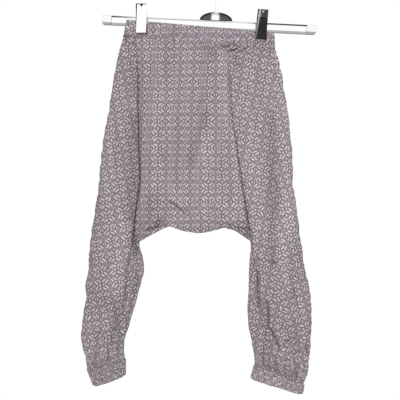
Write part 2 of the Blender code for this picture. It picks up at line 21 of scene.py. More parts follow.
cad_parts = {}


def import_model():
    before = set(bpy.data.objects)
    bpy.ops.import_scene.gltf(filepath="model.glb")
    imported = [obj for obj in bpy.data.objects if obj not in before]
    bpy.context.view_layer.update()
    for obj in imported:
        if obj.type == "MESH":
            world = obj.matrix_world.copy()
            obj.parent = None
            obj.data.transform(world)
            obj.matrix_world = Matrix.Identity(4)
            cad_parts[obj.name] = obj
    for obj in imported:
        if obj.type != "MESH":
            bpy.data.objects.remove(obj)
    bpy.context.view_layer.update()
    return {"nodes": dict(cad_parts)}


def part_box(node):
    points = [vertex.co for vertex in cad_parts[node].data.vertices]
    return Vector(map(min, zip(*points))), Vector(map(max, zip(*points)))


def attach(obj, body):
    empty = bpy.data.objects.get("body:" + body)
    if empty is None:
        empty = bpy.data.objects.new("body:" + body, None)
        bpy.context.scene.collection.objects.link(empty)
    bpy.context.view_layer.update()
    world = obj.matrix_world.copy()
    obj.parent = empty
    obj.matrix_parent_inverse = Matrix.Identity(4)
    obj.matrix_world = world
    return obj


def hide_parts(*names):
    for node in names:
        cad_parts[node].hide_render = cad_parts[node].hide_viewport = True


MM = 0.001
SAME_POINT = 1e-6
LOG = logging.getLogger("harem_pants")
Row = TypeVar("Row")
Array = np.ndarray
Pair, Triple = tuple[float, float], tuple[float, float, float]
Piece, Mesh, Material = bpy.types.Object, bpy.types.Mesh, bpy.types.Material
Tree, Node, Socket = bpy.types.NodeTree, bpy.types.Node, bpy.types.NodeSocket


# ---- the cloth's sections -------------------------------------------------------------

def table(kind: type, rows: Sequence[Sequence[object]]) -> tuple:
    """One object of a dataclass for each row of its fields."""
    return tuple(kind(*row) for row in rows)


@dataclass(frozen=True)
class Level:
    """One level of a leg: side seam, drape fold, and the line to the crotch corner.

    lap is how far the cloth doubles back under the fold.
    """

    outer: float
    outer_drop: float
    fold: float
    inner: float
    inner_drop: float
    lap: float


@dataclass(frozen=True)
class Depth:
    """How far a wall stands off the middle plane at one level.

    crown is the fullest part of the leg, edge the drape fold, inner the line to the
    crotch corner and centre halfway between the two legs.
    """

    crown: float
    edge: float
    inner: float
    centre: float


@dataclass(frozen=True)
class Stretch:
    """A form that lies on the cloth from one end to the other."""

    across: float
    drop: float
    to_across: float
    to_drop: float


@dataclass(frozen=True)
class Hollow(Stretch):
    """A long soft hollow, or a swell where its depth is negative."""

    width: float
    depth: float


@dataclass(frozen=True)
class Crease(Stretch):
    """A crease along a bowed line: a trough with two soft lips.

    bow is the sideways offset of its middle, and a negative depth makes it a ridge.
    """

    bow: float
    width: float
    depth: float


@dataclass(frozen=True)
class Gather(Stretch):
    """A band where the cloth is drawn up in small folds that hide some of its width.

    hidden is the width lost at its upper end, to_hidden at its lower end.
    """

    hidden: float
    to_hidden: float
    width: float

    def line(self, drop: Array) -> Array:
        """Across of the band's middle at a drop, wandering a little."""
        share = (drop - self.drop) / (self.to_drop - self.drop)
        straight = self.across + (self.to_across - self.across) * np.clip(share, -0.3, 1.3)
        return straight + 2.2 * Wander(int(abs(self.across)) + Seed.GATHER_LINE).at(drop / 19.0)

    def lost(self, drop: Array) -> Array:
        """Width lost in the band at a drop."""
        share = np.clip((drop - self.drop) / (self.to_drop - self.drop), 0.0, 1.0)
        return self.hidden + (self.to_hidden - self.hidden) * share


@dataclass(frozen=True)
class Nick:
    """A dip in the side seam's line."""

    drop: float
    depth: float
    reach: float


@dataclass(frozen=True)
class Rise:
    """How far the crotch seam is drawn up at a share of the way between the legs."""

    share: float
    rise: float


@dataclass(frozen=True)
class Spot:
    """A spot of painted shade on the casing's front: its share across and down, its half sizes and its depth.
    """

    share: float
    down: float
    wide: float
    tall: float
    depth: float


class Side(IntEnum):
    """A layer of the garment, as the sign of its Y."""

    FRONT = -1
    BACK = 1


class Leg(Enum):
    """One of the wearer's legs."""

    RIGHT = "right"
    LEFT = "left"


class Seed(IntEnum):
    """Where each kind of unevenness starts its random lattices."""

    GATHER_LINE = 3
    SIDE_SEAM = 7
    SIDE_SEAM_FINE = 9
    INSEAM = 11
    CROTCH = 12
    CROTCH_FINE = 13
    ANKLE = 20
    ANKLE_SIZE = 24
    SLIP = 31
    CRUMPLE = 40
    GATHER_FOLD = 51
    ANKLE_SHADE = 52


LEVELS: dict[Leg, tuple[Level, ...]] = {
    Leg.RIGHT: table(Level, (
        (-157, 115.5, -134.5, -119.5, 118.4, 0.5), (-166, 148.5, -134.5, -119.5, 150, 1.2),
        (-175, 198, -133.5, -119.5, 199, 3.4), (-183, 247.5, -133, -118, 248.5, 6.5),
        (-191, 297, -132, -117, 298, 9), (-196, 346.5, -130.5, -116.5, 348, 11.5),
        (-202.5, 397.5, -137, -123.5, 399.5, 13), (-210.5, 449, -142.5, -130.5, 452, 12),
        (-212.5, 473.5, -147.5, -125, 475, 8), (-215, 498.5, -151, -123, 498.5, 5),
        (-218, 523, -153, -128.5, 521.5, 3), (-219, 548, -156, -134, 544.5, 1.8),
        (-222, 572.5, -161, -141.5, 567.5, 0.8), (-225.5, 597.5, -166, -148, 590.5, 0),
        (-225, 622, -171, -154.5, 612, 0), (-219, 642, -172, -156, 628.5, 0),
        (-215.5, 660, -171, -154.5, 643.5, 0),
    )),
    Leg.LEFT: table(Level, (
        (93, 134.5, 15, -5, 127.1, 0), (101, 163.5, 18, -3, 155, 0.6), (108.5, 208, 20.5, 2, 203, 3.5),
        (115.5, 254, 24.5, 11, 251, 6), (120.5, 300.5, 31.5, 19.5, 298.5, 8),
        (123, 348, 38.5, 27, 346.5, 10), (128.5, 397.5, 46.5, 37.5, 397.5, 11.5),
        (135.5, 449, 55.5, 52.5, 451, 11), (138, 475, 59, 51.5, 475, 8),
        (143, 500, 63.5, 50.5, 498.5, 5.5), (149, 526.5, 67, 50, 521.5, 3.5),
        (152, 551, 68.5, 48.5, 544.5, 2), (153, 579, 69.5, 48.5, 571, 0.8), (152, 609, 71, 51, 597.5, 0),
        (149.5, 637, 74, 55.5, 619, 0), (146.5, 663.5, 77, 59, 638.5, 0),
        (140, 686.5, 78.5, 60, 653.5, 0),
    )),
}
DEPTHS: tuple[Depth, ...] = table(Depth, (
    (2.6, 4.6, 3.6, 7), (6.5, 7.8, 4.8, 8.6), (9.5, 10, 5.4, 9), (11.5, 11, 6, 9.4),
    (12.5, 11.4, 6.4, 9.6), (13, 11.6, 6.6, 9.6), (13.5, 11.6, 6.4, 8.4), (14, 9.6, 0, 0),
    (14.5, 9.4, 0, 0), (14.5, 9, 0, 0), (14, 8.6, 0, 0), (13.5, 8.2, 0, 0), (13, 8, 0, 0),
    (12.5, 8, 0, 0), (12, 8, 0, 0), (9.5, 7, 0, 0), (6, 5.2, 0, 0),
))
CROTCH_SEAM: tuple[Rise, ...] = table(Rise, (
    (0.00, 0.0), (0.10, 11.0), (0.19, 19.5), (0.28, 27.0), (0.38, 18.0), (0.51, 15.0),
    (0.65, 17.0), (0.75, 23.5), (0.86, 18.0), (0.94, 8.0), (1.00, 0.0),
))
# How strongly each drape fold shows at its top, and how much more from a drop on over a length: this sets the
# trough beside the fold and its painted shade.
FOLD_GRIP: dict[Leg, tuple[float, tuple[Triple, ...]]] = {
    Leg.RIGHT: (0.7, ((0.3, 330.0, 90.0), (-0.85, 428.0, 44.0))),
    Leg.LEFT: (0.3, ((0.6, 265.0, 95.0), (-0.75, 425.0, 60.0))),
}
HOLLOWS: dict[Side, tuple[Hollow, ...]] = {
    Side.FRONT: table(Hollow, (
        (-137, 190, -136, 420, 13, 3.2), (-151, 548, -163, 610, 9, 2.4), (-200, 560, -204, 640, 9, 1.6),
        (86, 255, 89, 480, 9, 2.8), (74, 560, 86, 652, 8, 2.8), (120, 540, 118, 640, 9, 1.8),
        (-60, 160, -66, 330, 13, 1.4), (-24, 250, -46, 312, 10, 1.4),
    )),
    Side.BACK: table(Hollow, (
        (-158, 240, -170, 420, 10, 2.4), (-186, 480, -195, 615, 9, 2.4), (92, 240, 102, 430, 10, 2.4),
        (98, 500, 112, 640, 9, 2.6), (-78, 170, -84, 360, 14, 1.8), (-34, 150, -30, 330, 12, 1.6),
    )),
}
# Broad soft stretches that lie back or stand out between the creases, with painted shade where they lie back
# and painted light where they stand out.
SWELLS: dict[Side, tuple[Hollow, ...]] = {
    Side.FRONT: table(Hollow, (
        (-143, 99, -139, 201, 15, 2.6), (-133, 148, -134, 200, 7, 1.8), (-138, 248, -138, 350, 12, 4.3),
        (-139, 350, -142, 412, 12, 4.2), (-138, 436, -134, 472, 8, 5), (-134, 475, -139, 531, 8, 2.4),
        (-110, 383, -120, 439, 15, 2.6), (-92, 419, -120, 437, 7, 2.8), (2, 427, 45, 439, 5, 4.8),
        (-17, 436, -54, 436, 5, 2.4), (88, 242, 87, 485, 6, 3.2), (-168, 436, -171, 531, 13, -3.4),
        (-100, 210, -105, 363, 7, -1.2), (47, 158, 52, 218, 8, -1), (54, 231, 65, 426, 12, -2.2),
        (113, 152, 116, 429, 15, -3.2), (105, 442, 108, 521, 12, -3), (131, 548, 144, 584, 8, -1.8),
        (-21, 241, -45, 323, 7, 3.2), (-68, 261, -70, 353, 6, 1.2), (6, 155, 16, 234, 12, -2.4),
        (-22, 284, -26, 412, 12, -1.8), (17, 244, 29, 317, 8, -2.4), (32, 323, 35, 406, 7, -2.2),
        (-70, 380, -67, 416, 10, -2.4), (-1, 383, 22, 409, 12, -2), (-21, 132, -7, 147, 8, 3.4),
        (-37, 125, 45, 129, 8, 2), (17, 119, 31, 162, 7, 3.4), (55, 116, 75, 132, 13, 2.8),
        (-85, 129, -83, 182, 6, 1.4), (-156, 412, -156, 490, 8, -2.6),
        (75, 564, 82, 657, 9, 3), (72, 653, 95, 663, 7, 2.4), (118, 591, 131, 634, 13, 2),
        (121, 535, 125, 551, 8, 1.6), (-189, 548, -163, 568, 15, 2.2), (-161, 558, -166, 607, 12, 3),
        (-209, 446, -212, 485, 8, 2.2), (-176, 248, -184, 376, 10, -1.8), (-196, 363, -207, 485, 6, 1.4),
        (-209, 624, -182, 634, 10, -1.6), (-137, 446, -135, 468, 5, 9), (-121, 180, -122, 380, 9, 1.2),
        (66, 150, 68, 225, 7, 1.6), (-205, 560, -203, 608, 8, 1.8), (58, 445, 66, 492, 6, -1.6),
        (-212, 625, -211, 655, 6, -1.6), (141, 608, 143, 672, 7, -2.2), (-158, 118, -148, 134, 7, 2.4),
    )),
    Side.BACK: table(Hollow, (
        (-130, 152, -126, 366, 10, 2.8), (-130, 366, -120, 442, 10, 4), (27, 251, 45, 436, 8, 3),
        (-83, 406, -113, 432, 8, 3), (-14, 429, 35, 436, 7, 3.6), (-179, 436, -182, 548, 13, -2.4),
        (85, 201, 101, 465, 13, -2), (-31, 201, -24, 383, 15, -1.6), (-80, 218, -57, 333, 7, 2),
        (-169, 564, -179, 647, 12, 2.2), (78, 548, 92, 667, 10, 3), (121, 482, 131, 597, 12, -1.6),
        (-70, 125, -80, 168, 8, 2), (6, 122, 16, 152, 8, 2.2),
    )),
}
NICKS: dict[Leg, tuple[Nick, ...]] = {
    Leg.RIGHT: (Nick(235.0, 1.6, 7.0), Nick(372.0, 1.4, 6.0), Nick(496.0, 1.8, 7.0), Nick(545.0, 1.6, 6.0)),
    Leg.LEFT: (Nick(359.0, 3.6, 8.0), Nick(438.0, 1.4, 6.0), Nick(612.0, 1.6, 7.0)),
}
GATHERS: dict[Side, tuple[Gather, ...]] = {
    Side.FRONT: table(Gather, (
        (-103, 130, -119, 330, 15, 11, 11), (-65, 130, -77, 300, 3, 9, 10),
        (-50, 130, -57, 300, 5, 6, 9), (-21, 130, -36, 330, 19, 11, 13), (14, 130, -2, 330, 7, 5, 10),
    )),
    Side.BACK: table(Gather, (
        (-92, 130, -104, 330, 12, 9, 11), (-58, 130, -64, 320, 9, 8, 10),
        (-12, 130, -20, 330, 14, 9, 12), (26, 130, 16, 300, 8, 6, 10),
    )),
}
# The left leg's side seam, which the drape has turned to the front, as drop and across.
SIDE_SEAM: tuple[Pair, ...] = (
    (134.0, 92.0), (200.0, 90.5), (260.0, 89.0), (430.0, 90.5), (520.0, 98.0), (600.0, 107.0), (690.0, 112.0))
# Creases: the front's, then similar ones on the hidden back.
CREASES: dict[Side, tuple[Crease, ...]] = {
    Side.FRONT: table(Crease, (
        (0.5, 128.2, 19.5, 128.6, -2.4, 1.9, 4.4), (10.8, 139.6, 38, 129.6, -1.5, 1.8, 4.2),
        (31.8, 139.6, 46.7, 132.7, 0.6, 1.7, 3.4), (-33.8, 163.4, -23.9, 156.8, 0.8, 2.5, 1.6),
        (-141.1, 123.8, -135.3, 132, 0.8, 2.4, 2), (-155.6, 118, -149.8, 123, 0.8, 2.6, 2.4),
        (-84, 384, -55.6, 405.4, 2.2, 1.7, 4.4), (-84, 423.5, -122, 434.5, -2, 1.9, 4.4),
        (-92, 413, -106, 428, -1.5, 3.4, 2.6), (15, 422, 54, 430, -1.8, 1.9, 3.8),
        (30, 418, 46, 424, 1, 1.8, 1), (-8, 398, 14, 414, 1.4, 2, 1),
        (12.4, 381.2, 19, 388.8, 0.8, 2.4, 1.4), (87.1, 482.5, 94.2, 491.7, 1, 2.2, 2.4),
        (64, 470, 68.6, 486.8, -1.6, 1.9, 2.2), (66.8, 485, 67.6, 562.7, -3, 2, 2.4),
        (77.9, 546, 80.9, 592.7, 2.6, 2, 3.6), (81, 588.7, 100.8, 632.3, 2.6, 2, 4.2),
        (105.4, 619.3, 117.3, 612.3, 0.8, 1.9, 3.6), (140.6, 617.1, 145.4, 637.8, 0.8, 1.9, 3.6),
        (-131.5, 498, -146, 560, 2, 3.2, 1.4), (-142, 548, -152, 606, -1.6, 2.6, 1.8),
        (-168, 560, -178, 628, 1.6, 2.8, 1), (-196, 596, -200, 648, -1, 2.6, 1.8),
        (-214, 520, -206, 548, 1.2, 3, 1.4), (-170, 430, -184, 505, 3, 4.5, 1.2),
        (92, 340, 96, 402, 1.6, 4, 1.2), (-24, 206, -42, 246, 2.2, 3.6, 1.1),
        (-96, 240, -92, 320, -2.4, 4.4, 0.9), (44, 190, 62, 270, 3, 4.2, 1.1),
        (-172, 240, -168, 330, 2, 4, 1), (118, 470, 128, 560, -3, 4, 1.2),
        (92, 640, 96, 668, 0.8, 2.4, 2), (108, 646, 112, 674, -0.8, 2.4, 1.2),
        (126, 652, 128, 680, 0.8, 2.4, 2), (73, 628, 74, 656, -0.8, 2.3, 2.2),
        (-166, 616, -167, 644, 0.6, 2.2, 1.8), (-180, 620, -182, 649, -0.6, 2.2, 1.8),
        (-204, 628, -206, 656, 0.6, 2.2, 0.9), (71, 652.5, 94.7, 661, 1, 1.8, 1.8),
        (94.7, 661, 112, 662.3, -0.8, 1.8, 1), (112, 662.3, 136.5, 681, 1, 1.8, 1),
    )),
    Side.BACK: table(Crease, (
        (-120, 126, -104, 132, 1.4, 2.6, 2.2), (-66, 130, -40, 126, -1.6, 2.6, 2.2),
        (22, 136, 46, 146, 1.6, 2.6, 2.2), (-50, 392, -22, 408, 2, 2.6, 2),
        (8, 414, 34, 400, -2, 2.6, 2), (-104, 424, -84, 404, -1.6, 2.8, 2),
        (-140, 470, -148, 556, 2.6, 2.8, 2), (-176, 540, -186, 632, -2.6, 2.8, 2),
        (-206, 566, -208, 640, 1.6, 2.8, 1.6), (62, 478, 66, 570, 2.6, 2.8, 2.2),
        (84, 560, 98, 646, -2.6, 2.6, 2.2), (124, 590, 128, 662, 2, 2.6, 1.8),
        (-52, 220, -60, 320, 2.8, 4.4, 1.2), (6, 240, -4, 330, -2.4, 4.2, 1.1),
        (64, 220, 76, 330, 3, 4.2, 1.2), (-168, 330, -176, 450, -3, 4.4, 1.2),
        (112, 400, 120, 500, 3, 4.2, 1.2), (-98, 180, -96, 260, 2, 4.4, 1),
    )),
}

# Painted shade on the casing: at seam puckers, and painted shadows round the clips' feet.
CASING_SHADE_SPOTS: tuple[Spot, ...] = table(Spot, (
    (0.676, 0.97, 0.030, 0.14, 0.9), (0.808, 0.02, 0.045, 0.07, 0.9), (0.117, 0.75, 0.036, 0.05, 0.9),
    (0.006, 0.97, 0.016, 0.12, 1.2), (0.855, 0.55, 0.035, 0.40, 0.3), (0.965, 0.45, 0.025, 0.40, 0.35),
    (0.915, 0.57, 0.030, 0.06, 0.7),
))


def ease(value: Array | float) -> Array:
    """Smooth step from 0 to 1."""
    value = np.clip(value, 0.0, 1.0)
    return value * value * (3.0 - 2.0 * value)


def crown_shape(share: Array | float, power: float = 2.4) -> Array:
    """Rise of a full, rounded wall from 0 at its seam to 1."""
    left = 1.0 - np.clip(share, 0.0, 1.0)
    return (1.0 - left ** power) ** (1 / power)


def at_level(rows: Sequence[Row], level: float) -> Row:
    """One row of a table at any level, on a smooth curve through its rows.

    Args:
        rows: Rows of one dataclass, one a level.
        level: The level, with a fraction between two rows.

    Returns:
        A row of the same class.
    """
    low = min(max(int(level), 0), len(rows) - 2)
    share = level - low
    a, b, c, d = (np.array(astuple(rows[min(max(low + k, 0), len(rows) - 1)])) for k in (-1, 0, 1, 2))
    value = b + 0.5 * share * (
        c - a + share * (2 * a - 5 * b + 4 * c - d + share * (3 * (b - c) + d - a)))
    return type(rows[0])(*(float(v) for v in value))


@dataclass(frozen=True)
class Wander:
    """Smooth noise from -1 to 1 on a lattice of random values, the same on each run."""

    seed: int
    cells: int = 97

    def at(self, x: Array | float, y: Array | float = 0.0) -> Array:
        """Noise at points measured in cells of the lattice."""
        lattice = np.random.default_rng(self.seed).uniform(-1.0, 1.0, (self.cells, self.cells))
        x, y = np.broadcast_arrays(np.asarray(x, float), np.asarray(y, float))
        column, row = np.floor(x).astype(int), np.floor(y).astype(int)
        along, down = ease(x - column), ease(y - row)
        near, far = (self.between(lattice, column, row + step, along) for step in (0, 1))
        return near + (far - near) * down

    def between(self, lattice: Array, column: Array, row: Array, share: Array) -> Array:
        """Values a share of the way from one column of the lattice to the next."""
        first, second = (lattice[(column + step) % self.cells, row % self.cells] for step in (0, 1))
        return first + (second - first) * share


@dataclass
class Run:
    """Points along one row of cloth, in millimetres.

    closing is 0 at a seam between the front and the back and 1 away from it, and tuck
    is the painted shade of the drape folds: up to 1 where the cloth lies in under a fold, less by a fold's
    edge and in the gathers' troughs.
    """

    across: Array
    drop: Array
    stand: Array
    closing: Array
    tuck: Array

    def arrays(self) -> tuple[Array, ...]:
        """The run's arrays, in the order of its fields."""
        return self.across, self.drop, self.stand, self.closing, self.tuck

    @staticmethod
    def join(runs: Sequence["Run"]) -> "Run":
        """Several runs, end to end."""
        return Run(*(np.concatenate(parts) for parts in zip(*(run.arrays() for run in runs))))

    def reversed(self) -> "Run":
        """The same run from its other end."""
        return Run(*(part[::-1] for part in self.arrays()))


@dataclass(frozen=True)
class Cut:
    """Sizes that the whole garment shares, as in its solids, and the shell's own."""

    crotch: int = 7
    middle_y: float = -5.7
    seam_half: float = 0.75
    casing_half: float = 1.1
    skin: float = 0.37          # the shell's middle from the solid wall's middle
    edge_half: float = 0.32     # half the distance between the two shells at a seam
    shell: float = 0.45
    fold_radius: float = 1.1
    lap_start: float = 3.0
    lap_min: float = 0.6
    turn_min: float = 0.02
    strip_rise: float = 0.6
    strip_min: float = 3.0
    waist_bulge: float = 9.0
    waist_levels: float = 2.0
    crown_at: float = 0.55
    edge_from: float = 0.35
    level_from: float = 0.7
    hollow_clear: float = 0.3
    crotch_clear: float = 0.15
    side_reach: float = 7.0     # how far from a seam the layers have parted, and at the
    inseam_reach: float = 6.0   # crotch how many levels above it
    crotch_reach: float = 0.12
    clip_across: Pair = (-127.0, 71.0)
    pinch_width: float = 12.0

    @property
    def last(self) -> int:
        """The level at the cuffs."""
        return len(DEPTHS) - 1

    def pinch(self, across: Array) -> Array:
        """0 under a clip and at the casing's two ends, 1 halfway between the clips."""
        left, right = self.clip_across
        inside = (across - left - self.pinch_width) / (right - left - 2 * self.pinch_width)
        return np.sin(math.pi * np.clip(inside, 0.0, 1.0)) ** 1.3


CUT = Cut()


@dataclass(frozen=True)
class Grain:
    """How the print lies on one stretch of cloth: turned about a point of its repeat."""

    across: float
    drop: float
    turn: float = 0.0
    gathers: tuple[Gather, ...] = ()

    def place(self, run: Array, drop: Array) -> Array:
        """Place on the printed cloth, to the right of and below the grain's own point.

        Args:
            run: Distance along the row, counted as an across.
            drop: Drop of the same points.

        Returns:
            Two lengths for each point, in millimetres.
        """
        x, y = run - self.across, drop - self.drop
        for gather in self.gathers:
            line = gather.line(drop)
            passed = ease((run - line) / gather.width + 0.5)
            x = x + gather.lost(drop) * (passed - (self.across > line))
        turned = math.radians(self.turn)
        c, s = math.cos(turned), math.sin(turned)
        return np.stack([c * x + s * y, c * y - s * x], -1)


GRAINS: dict[Side, dict[str, Grain]] = {side: {
    "centre": Grain(-85.8, 243.9, 0.0, GATHERS[side]),
    "right": Grain(-167.5, 261.5, -10.0),
    "left": Grain(49.5, 252.5, 11.0),
    "left_side": Grain(111.4, 269.8, -18.0),
} for side in Side}


@dataclass(frozen=True)
class Print:
    """The all-over print's repeat, and how the cloth's bunching distorts it."""

    repeat: Pair = (27.2, 21.85)
    slips: tuple[Pair, ...] = ((1.5, 42.0), (0.5, 11.0))

    def chart(self, place: Array, bunched: tuple[float | Array, float]) -> Array:
        """Map coordinates, in centimetres, of places on the printed cloth.

        Args:
            place: Lengths to the right and down, in millimetres.
            bunched: Size and length of a further slip where the cloth is gathered.

        Returns:
            Two coordinates for each place.
        """
        slipped = place * np.array([1.0, -1.0])
        for index, (size, length) in enumerate((*self.slips, bunched)):
            for axis in (0, 1):
                wander = Wander(Seed.SLIP + 2 * index + axis)
                slipped[..., axis] += size * wander.at(place[..., 0] / length, place[..., 1] / length)
        return slipped / 10.0

    def whole(self, shift: Array) -> Array:
        """The nearest shift by whole repeats."""
        return np.round(shift / np.array(self.repeat)) * np.array(self.repeat)


PRINT = Print()


# ---- node graphs ----------------------------------------------------------------------

FLOAT, VECTOR = "NodeSocketFloat", "NodeSocketVector"
GEOMETRY, FINISH = "NodeSocketGeometry", "NodeSocketMaterial"


def tint(red: float, green: float, blue: float) -> tuple[float, ...]:
    """Linear colour of an sRGB one given from 0 to 255."""
    linear = [(v / 255 / 12.92) if v <= 10 else ((v / 255 + 0.055) / 1.055) ** 2.4
              for v in (red, green, blue)]
    return (*linear, 1.0)


@dataclass
class Graph:
    """Adds and wires nodes in one shader or geometry node tree."""

    tree: Tree

    def set(self, socket: Socket, value: object) -> None:
        """Link a socket to an output, or give it a value."""
        if isinstance(value, Socket):
            self.tree.links.new(value, socket)
        elif value is not None:
            socket.default_value = value

    def add(self, kind: str, inputs: dict | None = None, **settings: object) -> Node:
        """A new node with its settings and inputs.

        Args:
            kind: Node type.
            inputs: Values or outputs, by the input's name or number.
            **settings: Properties of the node.

        Returns:
            The node.
        """
        node = self.tree.nodes.new(kind)
        for name, value in settings.items():
            setattr(node, name, value)
        for key, value in (inputs or {}).items():
            self.set(node.inputs[key], value)
        return node

    def get(self, kind: str, inputs: dict | None = None, **settings: object) -> Socket:
        """First output of a new node."""
        return self.add(kind, inputs, **settings).outputs[0]

    def math(self, operation: str, *values: object) -> Socket:
        """Output of a Math node."""
        return self.get("ShaderNodeMath", dict(enumerate(values)), operation=operation)

    def vector(self, operation: str, *values: object) -> Socket:
        """Vector output of a Vector Math node."""
        return self.get("ShaderNodeVectorMath", dict(enumerate(values)), operation=operation)

    def length(self, vector: Socket) -> Socket:
        """Length of a vector."""
        return self.add("ShaderNodeVectorMath", {0: vector}, operation="LENGTH").outputs["Value"]

    def scaled(self, vector: object, factor: object) -> Socket:
        """A vector or colour times a number."""
        return self.get("ShaderNodeVectorMath", {0: vector, "Scale": factor}, operation="SCALE")

    def parts(self, vector: Socket) -> Sequence[Socket]:
        """X, Y and Z of a vector."""
        return self.add("ShaderNodeSeparateXYZ", {0: vector}).outputs

    def solid(self) -> Socket:
        """Object coordinates."""
        return self.add("ShaderNodeTexCoord").outputs["Object"]

    def span(self, value: object, start: float, end: float, low: float, high: float,
             **settings: object) -> Socket:
        """A ramp from low where a value is start to high where it is end."""
        return self.get("ShaderNodeMapRange", {"Value": value, "From Min": start, "From Max": end,
                                               "To Min": low, "To Max": high}, **settings)

    def fade(self, value: object, start: float, end: float) -> Socket:
        """A smooth ramp from 1 at start to 0 at end."""
        return self.span(value, start, end, 1.0, 0.0, interpolation_type="SMOOTHSTEP")

    def mix(self, factor: object, first: object, second: object) -> Socket:
        """Colour output of a Mix node."""
        return self.add("ShaderNodeMix", {0: factor, 6: first, 7: second}, data_type="RGBA").outputs[2]

    def noise(self, place: object, scale: float, detail: float = 2.0) -> Socket:
        """Value output of a Noise Texture."""
        return self.get("ShaderNodeTexNoise", {"Vector": place, "Scale": scale, "Detail": detail})

    def bump(self, height: Socket, distance: float, strength: float, normal: Socket | None = None) -> Socket:
        """Normal output of a Bump node."""
        return self.get("ShaderNodeBump", {"Height": height, "Distance": distance, "Strength": strength,
                                           "Normal": normal})

    def group(self, tree: Tree, inputs: dict) -> Sequence[Socket]:
        """Outputs of a placed copy of a shared group, with its own values."""
        return self.add("ShaderNodeGroup", inputs, node_tree=tree).outputs


def new_group(name: str, inputs: dict[str, object], outputs: Sequence[str],
              kind: str = "ShaderNodeTree") -> tuple[Graph, Sequence[Socket], Sequence[Socket]]:
    """A node group with named sockets.

    Args:
        name: The group's name.
        inputs: Default value of each input by name, or its socket type.
        outputs: Names of the outputs: numbers, or geometry in a geometry tree.
        kind: Type of the tree.

    Returns:
        The group's graph, its inputs as given and its outputs to be set.
    """
    tree = bpy.data.node_groups.new(name, kind)
    for label, value in inputs.items():
        bare = isinstance(value, str)
        socket_type = value if bare else VECTOR if isinstance(value, tuple) else FLOAT
        socket = tree.interface.new_socket(label, in_out="INPUT", socket_type=socket_type)
        if not bare:
            socket.default_value = value
    for label in outputs:
        tree.interface.new_socket(label, in_out="OUTPUT",
                                  socket_type=FLOAT if kind == "ShaderNodeTree" else GEOMETRY)
    graph = Graph(tree)
    return graph, graph.add("NodeGroupInput").outputs, graph.add("NodeGroupOutput").inputs


@dataclass(frozen=True)
class Stroke:
    """A rounded stroke of the print, in centimetres from the middle of a star.

    length is without the round ends, so a dot is a stroke of no length.
    """

    across: float
    up: float
    angle: float
    length: float
    width: float


HALF_REPEAT = (PRINT.repeat[0] / 20, PRINT.repeat[1] / 20)
STROKES: tuple[Stroke, ...] = table(Stroke, (
    (0.866, 0.430, 51, 0.55, 0.230), (0.415, 0.635, 33, 0.56, 0.220), (0.280, 0, 90, 0.16, 0.220),
    (1.165, 0, 90, 0.26, 0.145), (HALF_REPEAT[0], 0.510, 0, 0.01, 0.110),
    (0, HALF_REPEAT[1], 90, 0.26, 0.200),
))
# Dark points between the strokes, as across and up from the middle of a star.
DARK_POINTS: tuple[Pair, ...] = ((0.0, 0.0), (0.0, 0.64), (0.97, 0.0))


